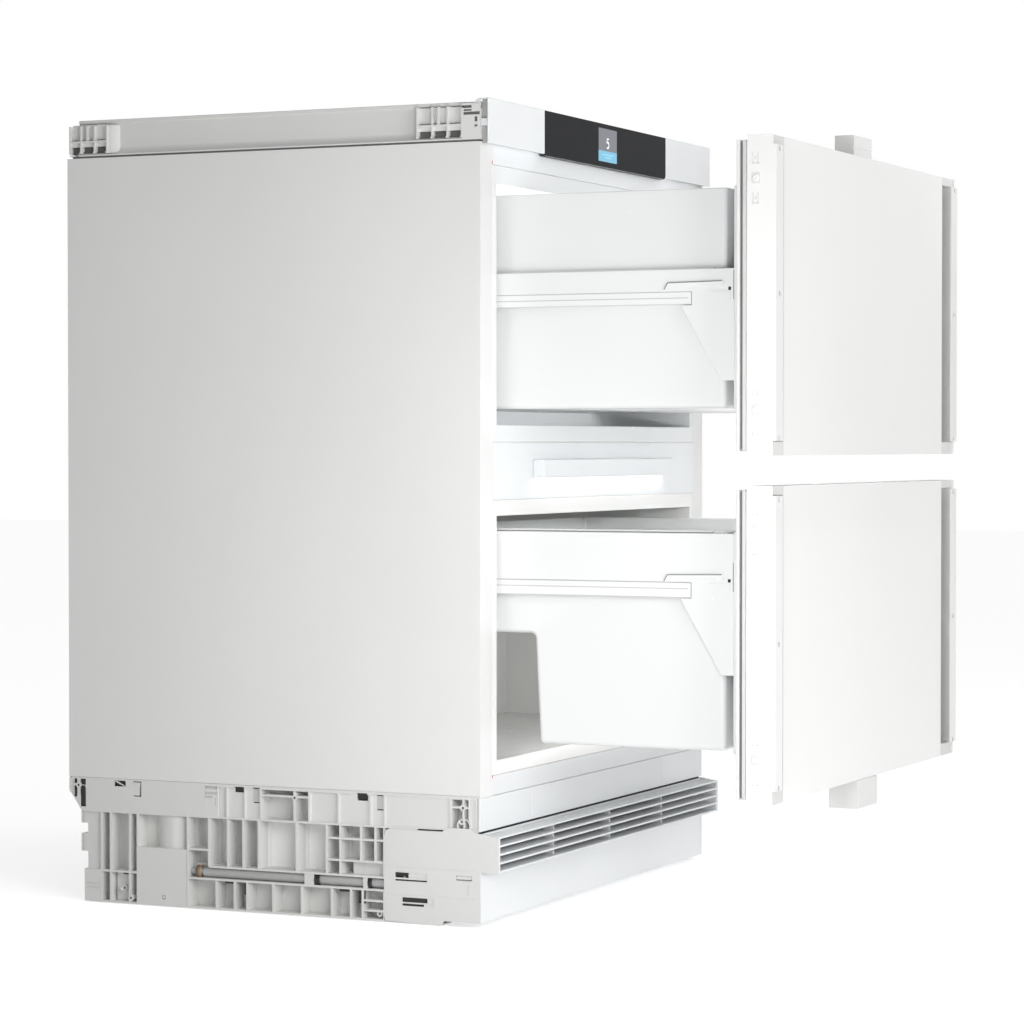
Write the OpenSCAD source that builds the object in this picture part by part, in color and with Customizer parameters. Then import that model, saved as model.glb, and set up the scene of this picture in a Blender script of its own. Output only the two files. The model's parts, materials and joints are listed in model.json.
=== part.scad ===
// Undercounter drawer refrigerator, both drawers pulled out to their stops.
// Millimetres. +Z is up, the drawers open towards -Y, X runs across the front.
// The origin is on the floor, in the middle of the part's outer box.
// Inside the modules, Y = 0 is the cabinet's front plane; placed() moves it to the part's own frame.

/* [Cabinet] */
// Outer width of the cabinet
body_w = 597; // [590:1:605]
// Overall height with the feet screwed in
body_h = 820; // [815:1:840]
// Depth of the cabinet without its drawer fronts
body_d = 478; // [475:1:500]
// Height of the machine base under the side panels
base_h = 129.5; // [128:0.5:134]
// Height of the top frame above the side panels
top_h = 42.5; // [42:0.5:46]
// Side wall: insulation with its skins
wall = 38.5; // [36:0.5:42]
// Wall above the upper compartment
head = 39.5; // [36:0.5:44]
// Floor of the lower compartment above the machine base
floor_rise = 34.7; // [33:0.1:36]
// Clear height of the lower compartment's opening
lower_open_h = 243.6; // [242:0.1:248]
// Height between the two openings
mullion_h = 90.9; // [88:0.1:94]
// Back wall of the compartments: insulation with its skins
back_wall = 53; // [52:1:56]
// Depth of the lower compartment's floor, in front of the machine niche
low_floor_d = 233; // [230:1:236]
// Height of the step over the machine niche
hump_h = 121.8; // [118:0.1:124]
// Steel sheet of the outer panels
sheet_t = 1; // [0.6:0.1:1.2]
// Plastic sheet of the liners
liner_t = 2; // [1.5:0.1:2.2]
// Width of the liner's flange beside the opening
liner_flange = 10; // [8:0.5:12]
// Width of the folded edge at the back of a side panel
rear_fold = 14; // [10:1:20]
// Foam between the niche and the lower compartment
hump_foam = 22; // [20:0.5:24]
// Gap between parts that are fastened to each other
fit = 0.2; // [0.1:0.05:0.3]

/* [Front trims] */
// Height of the top bar across the front
top_bar_h = 20.5; // [18:0.5:24]
// Height of the bottom bar across the front
bottom_bar_h = 19.8; // [18:0.1:22]
// Thickness of the bars and of the fascia between the openings
trim_t = 2; // [1.5:0.1:2.5]
// Height of the fascia between the openings
fascia_h = 57.7; // [54:0.1:60]
// Length of the lamp bar
lamp_w = 347; // [300:1:400]
// Depth of the lamp bar in front of the fascia
lamp_d = 14; // [10:0.5:15]
// Height of the lamp bar
lamp_h = 18.5; // [16:0.5:20]
// Wall of the lamp bar
lamp_wall = 1.6; // [1.2:0.1:2]

/* [Drawer fronts] */
// Front's edge from the side of the cabinet
front_in = 7.5; // [5:0.5:10]
// Bottom of the lower front above the machine base
front_rise = 5.8; // [5:0.1:7]
// Gap between the two drawer fronts
front_gap = 29; // [27:0.5:31]
// Middle of that gap above the middle of the wall between the compartments
gap_lift = 0.95; // [0.5:0.05:1.5]
// Top of the upper front below the top of the cabinet
front_drop = 46.9; // [46:0.1:48]
// How far the drawers pull out
travel = 264; // [255:1:264]
// Air left behind the seal when a drawer is shut
seal_gap = 0.4; // [0.3:0.1:0.6]
// Depth of the seal
gasket_t = 12.6; // [11:0.1:14]
// Width of the seal's strip
gasket_w = 16; // [14:0.5:17]
// Seal's outer edge inside the edge of the front
gasket_inset = 7; // [6:0.5:8]
// Lips of the seal stand proud of its folds by this
gasket_fold = 3; // [2:0.5:4]
// Inner sheet of the drawer front
front_plate_t = 2.5; // [2:0.1:3]
// Foam core of the drawer front
core_t = 20.2; // [18:0.1:22]
// Painted skin's edge from the side of the front
skin_in = 37.5; // [35:0.5:40]
// How far the mounting flange stands in front of the skin
flange_out = 5.6; // [5:0.1:7]
// Width of the mounting flange
flange_w = 20; // [18:0.5:24]
// Steel of the side rails
rail_sheet = 1.5; // [1.2:0.1:1.7]
// Plain end of the front's side, below the flange
flange_low = 14; // [13:0.5:16]
// Plain end of the front's side, above the flange
flange_high = 9.5; // [9:0.5:12]
// Diameter of the furniture panel's screw holes
panel_hole_d = 5.5; // [4.5:0.1:6]
// Lowest screw hole above the bottom of the front
panel_hole_low = 16.3; // [16:0.1:17]
// Highest screw hole below the top of the front
panel_hole_high = 13.1; // [12.5:0.1:14]
// Screw holes from the side of the front
panel_hole_in = 10.5; // [9:0.5:11]
// Depth of the plug on the inside of a front
plug_d = 26.2; // [24:0.1:27]
// Air beside the plug in the opening
plug_air = 2; // [2:0.5:6]
// Plug's edge from the top and bottom of the front
plug_inset = 38.4; // [38.2:0.1:42]
// Bevel along the plug's top and bottom
plug_bevel = 7; // [4:0.5:10]

/* [Stop blocks] */
// Half width of the upper front's block
upper_block_hw = 28.5; // [24:0.5:32]
// Height of the upper front's block
upper_block_h = 21.9; // [18:0.1:26]
// Half width of the lower front's block
lower_block_hw = 30.5; // [24:0.5:34]
// Height of the lower front's block
lower_block_h = 29.3; // [24:0.1:31]
// Back of the upper block in front of the shut cabinet's plane
upper_block_back = 9.4; // [9.3:0.1:11]
// Depth of the upper block
upper_block_d = 21.1; // [18:0.1:24]
// Back of the lower block in front of the shut cabinet's plane
lower_block_back = 5.5; // [4:0.1:8]
// Depth of the lower block
lower_block_d = 31.8; // [28:0.1:34]

/* [Drawers] */
// Side frame's outer face from the compartment's wall
frame_gap = 5; // [4:0.5:6]
// Thickness of a side frame
frame_t = 10; // [9:0.5:10]
// Thickness of the stay at the front of a side frame
stay_t = 8; // [7:0.5:9]
// Front edge of the frame's rear part, from the bin's front edge: length of the stay's top
stay_top = 44.5; // [42:0.5:48]
// Length of the stay's foot
stay_foot = 13.5; // [12:0.5:16]
// Side frame of the upper drawer above the bottom of its front
upper_band_z = 158.7; // [156:0.1:161]
// Height of the upper side frame
upper_band_h = 22; // [20:0.5:24]
// Bottom of the upper stay above the bottom of the front
upper_stay_z = 72.3; // [70:0.1:76]
// Side frame of the lower drawer above the bottom of its front
lower_band_z = 209.7; // [207:0.1:212]
// Height of the lower side frame
lower_band_h = 48; // [44:0.5:50]
// Bottom of the lower stay above the bottom of the front
lower_stay_z = 120.2; // [116:0.1:124]
// Air behind a shut drawer
rear_air = 36; // [35:1:40]
// Height of the upper drawer's rail
upper_rail_h = 12.4; // [11.5:0.1:13]
// Height of the lower drawer's rail
lower_rail_h = 14.8; // [13.5:0.1:15.5]
// Sheet of the drawer rails
runner_t = 1.5; // [1.2:0.1:1.5]
// Sheet of the middle rails
mid_t = 1.2; // [1:0.1:1.3]
// Thickness of the rails on the cabinet
blade_t = 2.8; // [2.4:0.1:3]
// Running gap between the rails
run_gap = 0.3; // [0.3:0.05:0.4]
// Free length between a shut drawer's stay and the cabinet's rail
rail_start_gap = 2; // [1.5:0.5:4]

/* [Bins] */
// Gap between a bin and its side frame
bin_gap = 1.5; // [1.2:0.1:4]
// Wall of the bins
bin_t = 2.5; // [2:0.1:3]
// Width of the ledge that carries a bin
ledge_w = 6; // [5:0.5:8]
// Thickness of the ledge
ledge_t = 3; // [2:0.1:4]
// Gap between the plug and the front of a bin
bin_front_gap = 12.3; // [10:0.1:14]
// Underside of the upper bin above the bottom of its front
upper_bin_z = 45.8; // [44:0.1:50]
// Rim of the upper bin below the ceiling of its compartment
upper_bin_drop = 10; // [8:0.5:20]
// Corner radius of the upper bin
upper_bin_r = 12; // [6:1:20]
// Underside of the lower bin's deep part above the bottom of its front
lower_bin_z = 48.3; // [46:0.1:52]
// Underside of the lower bin's rear tray above the bottom of its front
lower_tray_z = 155.7; // [153:0.1:160]
// Length of the lower bin's deep part
deep_len = 197.5; // [190:0.5:198]
// Corner radius of the lower bin
lower_bin_r = 22; // [10:1:30]

/* [Control panel] */
// Front of the control panel before the cabinet's front plane
panel_d = 9; // [8:0.1:9]
// Thickness of the control panel's front plate
panel_t = 1.5; // [1.2:0.1:2]
// Bottom of the front plate below the side panels' top edge
panel_drop = 2; // [1:0.5:2.2]
// Half width of the black glass
glass_hw = 163.5; // [150:0.5:180]
// Thickness of the black glass
glass_t = 2.5; // [2:0.1:3]
// Bottom of the glass below the side panels' top edge
glass_drop = 3.5; // [3:0.1:3.8]
// Radius of the glass's lower corners
glass_r = 5; // [2:0.5:8]
// Half width of the display
display_hw = 24.5; // [20:0.5:30]
// Height of the display
display_h = 34.7; // [30:0.1:36]
// Top of the display below the top of the cabinet
display_drop = 5; // [4:0.5:8]

/* [Top frame] */
// Length of the top frame
top_len = 464; // [460:1:470]
// Depth of the channel along each side
channel_d = 14; // [12:0.5:16]
// Wall of the top frame
top_t = 2.5; // [2:0.1:3]
// Dark joint between side panel and top frame
joint_h = 2; // [1.5:0.1:2.5]
// Top frame's upper face below the top of the control panel
top_low = 2.5; // [2:0.1:4]
// Thickness of the corner blocks' ribs
rib_t = 1.6; // [1.2:0.1:2]

/* [Machine base] */
// Inner web of the base sides from the outside
web_in = 18; // [16:0.5:20]
// Thickness of the base sides' web
web_t = 2; // [1.6:0.1:2.4]
// Clearance under the base sides
ground_gap = 1; // [1:0.5:3]
// Height of the base sides' flush upper band
band_h = 32.5; // [30:0.5:36]
// Height of the air grille
grille_h = 36; // [32:1:38]
// Depth of the air grille
grille_d = 20; // [16:1:24]
// Underside of the air grille above the floor
grille_z = 56; // [54:0.5:58]
// Number of slats in the air grille
slats = 5; // [4:1:6]
// Thickness of a slat
slat_t = 2.2; // [1.8:0.1:3]
// Thickness of the plinth panel
plinth_t = 3; // [2:0.5:4]
// Clearance under the plinth panel
plinth_gap = 5; // [3:0.5:8]
// Thickness of the bracket plates beside the grille
plate_t = 2; // [1.5:0.1:2]
// Length of the bracket plates behind the front plane
plate_len = 107; // [100:1:107]
// Thickness of the bottom fascia
low_fascia_t = 2.5; // [2:0.1:2.6]
// Half width of the middle piece of the bottom fascia
low_fascia_hw = 175.5; // [160:0.5:190]
// Underside of the machine tray above the floor
tray_z = 24; // [22:0.5:26]
// Thickness of the machine tray
tray_t = 2; // [1.5:0.1:2.5]

/* [Feet] */
// Front feet behind the cabinet's front plane
front_foot_y = 60; // [52:1:70]
// Rear feet in front of the cabinet's back
rear_foot_back = 123.5; // [121:0.5:126]
// Front feet from the side
front_foot_in = 26.5; // [26:0.5:30]
// Rear feet from the side
rear_foot_in = 19.2; // [19.2:0.1:21]
// Radius of the foot pads
pad_r = 15; // [13:0.5:15]
// Height of the foot pads
pad_h = 8; // [6:0.5:10]
// Radius of the threaded spindles
spindle_r = 5; // [4:0.5:6]
// Top of the spindles above the floor
spindle_top = 90; // [86:1:92]
// Running clearance of spindles and shafts, on the radius
shaft_gap = 0.05; // [0.02:0.01:0.1]
// Radius of the front feet's sockets
front_socket_r = 9; // [8:0.5:10]
// Radius of the rear feet's sockets
rear_socket_r = 17; // [15:0.5:17]
// Underside of the foot sockets above the floor
socket_z = 12; // [11:0.5:14]
// Radius of the adjusting rods
rod_r = 5; // [4:0.5:5]
// Height of the adjusting rods' axis
rod_z = 38.5; // [38:0.1:39]
// Adjusting rods' axis from the side
rod_in = 7.5; // [7.5:0.1:8.5]

/* [Cooling] */
// Radius of the compressor's can
can_r = 70; // [60:1:74]
// Height of the compressor's can
can_h = 140; // [120:1:150]
// Compressor's axis from the left side of the cabinet
can_in = 178.5; // [160:0.5:198]
// Compressor's axis in front of the cabinet's back
can_back = 110; // [102:1:116]
// Height of the melt water tray over the compressor
melt_tray_h = 26; // [22:1:30]
// Compressor's plate above the machine tray
mount_h = 14; // [12:0.5:18]
// Length of the condenser across the cabinet
condenser_w = 240; // [200:5:260]
// Depth of the condenser
condenser_d = 60; // [50:1:64]
// Height of the condenser
condenser_h = 84; // [70:1:90]
// Spacing of the condenser's fins
fin_step = 12; // [10:1:20]
// Side of the square fan frame
fan_w = 96; // [90:1:98]
// Depth of the fan frame
fan_d = 25; // [20:1:30]
// Radius of the fan rotor
fan_r = 42; // [36:1:43]
// Evaporator's edge from the side of the compartment
evap_in = 10; // [5:1:30]
// Thickness of the evaporator's plate
evap_t = 1.6; // [1.2:0.1:2]
// Width of the air fan's box inside the upper compartment
air_box_w = 140; // [120:5:160]
// Height of the air fan's box
air_box_h = 90; // [80:1:96]
// Depth of the air fan's box
air_box_d = 24; // [20:1:26]

/* [Hidden] */
$fn = 64;

// Cabinet
half = body_w / 2;
side_top = body_h - top_h;
open_hw = half - wall;
inner_d = body_d - back_wall;
rear_foot_y = body_d - rear_foot_back;
can_x = half - can_in;
can_y = body_d - can_back;
evap_w = 2 * (open_hw - evap_in);
seam_x = open_hw + liner_flange;
low_z0 = base_h + floor_rise;
low_z1 = low_z0 + lower_open_h;
up_z0 = low_z1 + mullion_h;
up_z1 = side_top - head;
mid_z = (low_z1 + up_z0) / 2;
hump_z = low_z0 + hump_h;
niche_z = hump_z - liner_t - fit - hump_foam - fit;
niche_y = low_floor_d + liner_t + 30;
fascia_z0 = mid_z - fascia_h / 2 - 0.6;
fascia_z1 = fascia_z0 + fascia_h;
low_seam = base_h + bottom_bar_h;
top_seam = side_top - top_bar_h;

// Drawer fronts at rest, pulled out; each value is the back face of the named layer
y_seal = -travel - seal_gap;
y_plate = y_seal - gasket_t;
y_core = y_plate - front_plate_t;
y_skin = y_core - core_t;
y_face = y_skin - sheet_t;
y_flange = y_face - flange_out;
y_plug = y_plate + plug_d;
y_wing = y_core - 6.5;
y_web = y_face - 2.3;
front_hw = half - front_in;
skin_hw = front_hw - skin_in;
plug_hw = open_hw - plug_air;
core_hw = front_hw - rail_sheet - fit;
gap_z = mid_z + gap_lift;
up_front = gap_z + front_gap / 2;
up_front_h = body_h - front_drop - up_front;
low_front = base_h + front_rise;
low_front_h = gap_z - front_gap / 2 - low_front;
mid_y = (body_d + y_flange) / 2;

// Drawers and their rails
frame_x = open_hw - frame_gap;
frame_y = y_plug + 0.3;
frame_back = inner_d - travel - rear_air;
bin_y = y_plug + bin_front_gap;
bin_back = frame_back;
bin_hw = frame_x - frame_t - bin_gap;
upper_bin_top = up_z1 - upper_bin_drop;
stay_y = frame_y + stay_top;
runner_y0 = stay_y + 0.5;
runner_y1 = frame_back - 1;
fixed_y0 = stay_y + 12 + travel + rail_start_gap;
fixed_y1 = inner_d - 30;
mid_y0 = fixed_y0 + 3 - travel / 2;
mid_y1 = fixed_y1 - 10 - travel / 2;
rail_x = frame_x - frame_t / 2;

// Top frame and machine base
lip_z = side_top + joint_h;
channel_x = half - channel_d;
block_top = body_h - 7;
web_x = half - web_in;
band_z = base_h - band_h;
base_back = body_d - 19.3;
base_front = max(low_fascia_t, plinth_t) + fit;
plinth_hw = half - plate_t - fit;
tray_top = tray_z + tray_t;
foot_up = tray_top + fit;
front_foot_x = half - front_foot_in;
rear_foot_x = half - rear_foot_in;
rod_x = half - rod_in;
rod_y0 = 8;
rod_y1 = rear_foot_y - 36.5;
rod_pin_r = 3;
collar_r = rod_r + 1.2;
collar_y = [rod_y1 + 4, rod_y1 + 7];
fan_x = 60;
fan_y = 118;
fan_z = foot_up + fan_w / 2;
air_fan_z = up_z1 - 10 - air_box_h / 2;
air_fan_r = 36;
can_z = foot_up + mount_h;
can_top = can_z + 4 + can_h;

// ---------------------------------------------------------------- helpers

// Moves a piece from the cabinet's front plane to the middle of the part's outer box.
module placed() {
    translate([0, -mid_y, 0]) children();
}

// A box from its two ends on each axis.
module block(x, y, z) {
    translate([x[0], y[0], z[0]]) cube([x[1] - x[0], y[1] - y[0], z[1] - z[0]]);
}

// The piece and its mirror image on the other side of the cabinet.
module both_sides() {
    children();
    mirror([1, 0, 0]) children();
}

// A side view, drawn as (Y, Z), given a thickness from x0 to x1.
module side_plate(x0, x1) {
    translate([x0, 0, 0])
        rotate([90, 0, 90])
            linear_extrude(x1 - x0) children();
}

// A front view, drawn as (X, Z), given a thickness from y0 to y1.
module front_view(y0, y1) {
    translate([0, y1, 0])
        rotate([90, 0, 0])
            linear_extrude(y1 - y0) children();
}

// A rectangle from its two ends on each axis, with round corners.
module round_rect(x, y, r) {
    translate([x[0] + r, y[0]]) square([x[1] - x[0] - 2 * r, y[1] - y[0]]);
    translate([x[0], y[0] + r]) square([x[1] - x[0], y[1] - y[0] - 2 * r]);
    for (px = [x[0] + r, x[1] - r], py = [y[0] + r, y[1] - r])
        translate([px, py]) circle(r);
}

// A round shaft or bore along Y.
module rod_along_y(x, z, r, y) {
    translate([x, y[0], z]) rotate([-90, 0, 0]) cylinder(r = r, h = y[1] - y[0]);
}

// ---------------------------------------------------------------- cabinet

module side_panel() {
    block([half - sheet_t, half], [0, body_d], [base_h, side_top]);
    block([seam_x, half], [0, sheet_t], [base_h, side_top]);
    block([half - rear_fold, half], [body_d - sheet_t, body_d], [base_h, side_top]);
}

module side_panel_left() {
    color([0.86, 0.86, 0.85]) placed() mirror([1, 0, 0]) side_panel();
}

module side_panel_right() {
    color([0.86, 0.86, 0.85]) placed() side_panel();
}

module back_panel() {
    reach = half - rear_fold - fit;
    color([0.8, 0.8, 0.8]) placed()
        block([-reach, reach], [body_d - sheet_t, body_d], [niche_z, side_top - fit]);
}

// Bent sheet that closes the foam towards the machine niche.
module niche_pan() {
    reach = half - sheet_t - fit;
    color([0.75, 0.76, 0.77]) placed() {
        block([-reach, reach], [trim_t + fit, niche_y], [base_h, base_h + sheet_t]);
        block([-reach, reach], [niche_y - sheet_t, niche_y], [base_h, niche_z]);
        block([-reach, reach], [niche_y - sheet_t, body_d - sheet_t - fit], [niche_z - sheet_t, niche_z]);
    }
}

// Foam, as the convex bodies between panels and liners.
module insulation_slabs() {
    joint = 0.3;
    outer = half - sheet_t - fit;
    inner = open_hw + liner_t + fit;
    mid = inner - joint;
    front = trim_t + fit;
    back = body_d - sheet_t - fit;
    liner_back = inner_d + liner_t + fit;
    evap_back = liner_back + 4.3;
    bottom = base_h + sheet_t + fit;
    top = side_top - fit;
    color([0.93, 0.9, 0.78]) placed() {
        both_sides() {
            block([inner, outer], [front, back], [niche_z + fit, top]);
            block([inner, outer], [front, niche_y - sheet_t - fit], [bottom, niche_z - joint]);
        }
        block([-mid, mid], [front, back], [up_z1 + liner_t + fit, top]);
        block([-mid, mid], [evap_back, back], [up_z0 - joint, up_z1 + liner_t + fit - joint]);
        block([-mid, mid], [liner_back, back], [niche_z + fit, up_z0 - 2 * joint]);
        block([-mid, mid], [front, liner_back - joint], [low_z1 + liner_t + fit, up_z0 - liner_t - fit]);
        block([-mid, mid], [front, niche_y - sheet_t - fit], [bottom, low_z0 - liner_t - fit]);
        block([-mid, mid], [low_floor_d + liner_t + fit, niche_y - sheet_t - fit],
              [low_z0 - liner_t - fit + joint, hump_z - liner_t - fit]);
        block([-mid, mid], [niche_y - sheet_t - fit + joint, liner_back - joint],
              [niche_z + fit, hump_z - liner_t - fit]);
    }
}

module liner_upper() {
    color([0.88, 0.92, 0.94]) placed() difference() {
        union() {
            block([-open_hw - liner_t, open_hw + liner_t], [0, inner_d + liner_t],
                  [up_z0 - liner_t, up_z1 + liner_t]);
            block([-seam_x + fit, seam_x - fit], [0, liner_t], [fascia_z1 + fit, top_seam - fit]);
        }
        block([-open_hw, open_hw], [-1, inner_d], [up_z0, up_z1]);
    }
}

module liner_lower() {
    color([0.88, 0.92, 0.94]) placed() difference() {
        union() {
            block([-open_hw - liner_t, open_hw + liner_t], [0, low_floor_d + liner_t],
                  [low_z0 - liner_t, low_z1 + liner_t]);
            block([-open_hw - liner_t, open_hw + liner_t], [0, inner_d + liner_t],
                  [hump_z - liner_t, low_z1 + liner_t]);
            block([-seam_x + fit, seam_x - fit], [0, liner_t], [low_seam + fit, fascia_z0 - fit]);
        }
        block([-open_hw, open_hw], [-1, low_floor_d], [low_z0, low_z1]);
        block([-open_hw, open_hw], [-1, inner_d], [hump_z, low_z1]);
    }
}

module front_cross_bars() {
    reach = seam_x - fit;
    color([0.95, 0.95, 0.95]) placed() {
        block([-reach, reach], [0, trim_t], [top_seam, side_top - fit]);
        block([-reach, reach], [0, trim_t], [base_h + fit, low_seam]);
    }
}

module mullion_fascia() {
    reach = seam_x - fit;
    color([0.95, 0.95, 0.95]) placed()
        block([-reach, reach], [0, trim_t], [fascia_z0, fascia_z1]);
}

// Open channel under which the lens is clipped; the light falls on the fascia.
module lamp_bar() {
    z0 = mid_z + 1.5;
    color([0.96, 0.96, 0.96]) placed() difference() {
        block([-lamp_w / 2, lamp_w / 2], [-lamp_d, -fit], [z0 - lamp_h / 2, z0 + lamp_h / 2]);
        block([-lamp_w / 2 + lamp_wall, lamp_w / 2 - lamp_wall], [-lamp_d + lamp_wall, -fit - lamp_wall],
              [z0 - lamp_h / 2 - 1, z0 + lamp_h / 2 - lamp_wall]);
    }
}

module lamp_lens() {
    z0 = mid_z + 1.5 - lamp_h / 2;
    gap = lamp_wall + fit;
    color([1, 1, 0.97]) placed()
        block([-lamp_w / 2 + gap, lamp_w / 2 - gap], [-lamp_d + gap, -fit - gap], [z0 + 0.5, z0 + 3.5]);
}

// ---------------------------------------------------------------- top frame and controls

// Shallow box with a channel along each side.
module top_frame() {
    top = body_h - top_low;
    color([0.86, 0.86, 0.86]) placed() {
        block([-half + 2.5, half - 2.5], [trim_t + fit, top_len - 2], [side_top, lip_z]);
        difference() {
            union() {
                block([-half, half], [20 + fit, top_len], [lip_z, lip_z + top_t]);
                block([-channel_x, channel_x], [0, top_len], [lip_z, top]);
            }
            block([-channel_x + top_t, channel_x - top_t], [top_t, top_len - top_t],
                  [lip_z + top_t, top - top_t]);
        }
    }
}

// Ribbed block: back plate, floor, ribs and a shelf, with openings under the shelf.
module ribbed_block(ribs, short_rib, shelf_z, top) {
    x0 = channel_x + fit;
    floor_z = lip_z + top_t + fit;
    last = ribs[len(ribs) - 1];
    difference() {
        union() {
            block([x0, x0 + rib_t], [ribs[0], last], [floor_z, top]);
            for (y = ribs) block([x0, half], [y - rib_t / 2, y + rib_t / 2], [floor_z, top]);
            block([x0, half], [short_rib - rib_t / 2, short_rib + rib_t / 2], [shelf_z, top]);
            block([x0, half], [ribs[0], last], [shelf_z - rib_t, shelf_z]);
            block([x0, half], [ribs[0], last], [floor_z, floor_z + rib_t]);
        }
        for (i = [0 : len(ribs) - 2])
            block([x0 - 1, x0 + rib_t + 1], [ribs[i] + 2, ribs[i + 1] - 2],
                  [floor_z + rib_t, shelf_z - rib_t - 4]);
    }
}

// The four corners of the top frame: two at the back, two at the front with their side plates.
module top_corner_blocks() {
    x0 = channel_x + fit;
    floor_z = lip_z + top_t + fit;
    shelf_z = body_h - 24.5;
    plate_top = body_h - 9;
    rear_y = body_d - 48;
    front_end = 20.4;
    color([0.85, 0.85, 0.84]) placed() both_sides() {
        union() {
            ribbed_block([rear_y, rear_y + 15, rear_y + 31.5, rear_y + 45], rear_y + 24,
                         shelf_z, plate_top);
            translate([x0, rear_y, floor_z]) intersection() {
                cylinder(r = 12, h = plate_top - floor_z);
                translate([0, -12, 0]) cube([12, 12, plate_top - floor_z]);
            }
        }
        difference() {
            union() {
                ribbed_block([front_end, 36.2, 53, 69.5], 46.3, shelf_z, block_top);
                block([half - rib_t, half], [fit, front_end], [lip_z, plate_top]);
                block([x0, half], [fit, fit + rib_t], [lip_z, plate_top - 1]);
                side_plate(half - rib_t, half)
                    polygon([[fit, block_top - 7], [fit, body_h], [2.5, body_h - 0.6],
                             [9, body_h - 5.4], [front_end - 0.4, block_top],
                             [front_end - 0.4, block_top - 7]]);
            }
            for (down = [18.5, 15.2, 11.8])
                block([half - rib_t - 1, half + 1], [3.5, 17], [body_h - down, body_h - down + 1.6]);
            block([half - rib_t - 1, half + 1], [4.6, 6.6], [lip_z + 12, lip_z + 19.5]);
        }
    }
}

module control_housing() {
    plate_z0 = side_top - panel_drop;
    body_x = channel_x - 0.5;
    y_in = -panel_d + panel_t;
    color([0.96, 0.96, 0.97]) placed() difference() {
        union() {
            block([-half, half], [-panel_d, y_in], [plate_z0, body_h]);
            block([-body_x, body_x], [y_in, -fit], [side_top + fit, body_h - 1]);
            block([-half + 1, half - 1], [y_in, -fit], [lip_z + 13.5, lip_z + 20.5]);
        }
        block([-glass_hw - fit, glass_hw + fit], [-panel_d - 1, -panel_d + glass_t + fit],
              [plate_z0 - 1, body_h + 1]);
    }
}

module control_glass() {
    z0 = side_top - glass_drop;
    d_z1 = body_h - display_drop;
    color([0.13, 0.13, 0.14]) placed() difference() {
        front_view(-panel_d, -panel_d + glass_t) {
            round_rect([-glass_hw, glass_hw], [z0, body_h - glass_r], glass_r);
            translate([-glass_hw, z0 + glass_r]) square([2 * glass_hw, body_h - z0 - glass_r]);
        }
        block([-display_hw - fit, display_hw + fit], [-panel_d - 1, 0],
              [d_z1 - display_h - fit, d_z1 + fit]);
    }
}

module control_display() {
    d_z1 = body_h - display_drop;
    color([0.35, 0.65, 0.85]) placed()
        block([-display_hw, display_hw], [-panel_d, -panel_d + glass_t], [d_z1 - display_h, d_z1]);
}

// ---------------------------------------------------------------- machine base

module bottom_fascia() {
    reach = half;
    z = [band_z - 1, base_h - fit];
    color([0.95, 0.95, 0.95]) placed() {
        block([-low_fascia_hw, low_fascia_hw], [0, low_fascia_t], z);
        both_sides() block([low_fascia_hw + 0.4, reach], [0, low_fascia_t], z);
    }
}

// Slats between two end plates, with upright webs behind them.
module louvre_grille() {
    pitch = (grille_h - slat_t) / (slats - 1);
    color([0.93, 0.93, 0.93]) placed() {
        for (i = [0 : slats - 1])
            block([-plinth_hw, plinth_hw], [-grille_d, 0],
                  [grille_z + i * pitch, grille_z + i * pitch + slat_t]);
        for (x = [-plinth_hw, -plinth_hw / 2, -1, plinth_hw / 2 - 2, plinth_hw - 2])
            block([x, x + 2], [-grille_d + (abs(x) > plinth_hw - 3 ? 0 : 8), 0],
                  [grille_z, grille_z + grille_h]);
    }
}

module plinth_panel() {
    color([0.95, 0.95, 0.95]) placed()
        block([-plinth_hw, plinth_hw], [0, plinth_t], [plinth_gap, grille_z - fit]);
}

// Plates beside the grille that carry the plinth, with their adjusting slots.
module base_brackets() {
    r = 8;
    color([0.93, 0.93, 0.92]) placed() both_sides() side_plate(half - plate_t, half) difference() {
        union() {
            polygon([
                [plate_len, ground_gap + 1.6], [plate_len, band_z - 2 - r], [plate_len - r, band_z - 2],
                [43, band_z - 2], [34, band_z + 1.6], [6, band_z + 1.6], [2, band_z - 2.5],
                [-grille_d, grille_z + grille_h - 1], [-grille_d, grille_z], [0, grille_z],
                [0, plinth_gap], [39, plinth_gap - 1], [44, ground_gap], [67, ground_gap]
            ]);
            translate([plate_len - r, band_z - 2 - r]) circle(r);
        }
        translate([58.8, 43]) square([35.7, 8.5]);
        translate([51, 18.3]) square([35.7, 8.5]);
        translate([9.2, 47]) square([17.5, 4.6]);
        translate([53.6, 7.3]) circle(2);
    }
}

// A cell's walls: upright ribs at the given places, between two heights.
module ribs_at(ys, z) {
    for (y = ys) block([web_x - web_t, half], [y - 1, y + 1], z);
}

// A level shelf between two ribs.
module shelf_at(y, z) {
    block([web_x - web_t, half], y, [z - 1, z + 1]);
}

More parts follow.
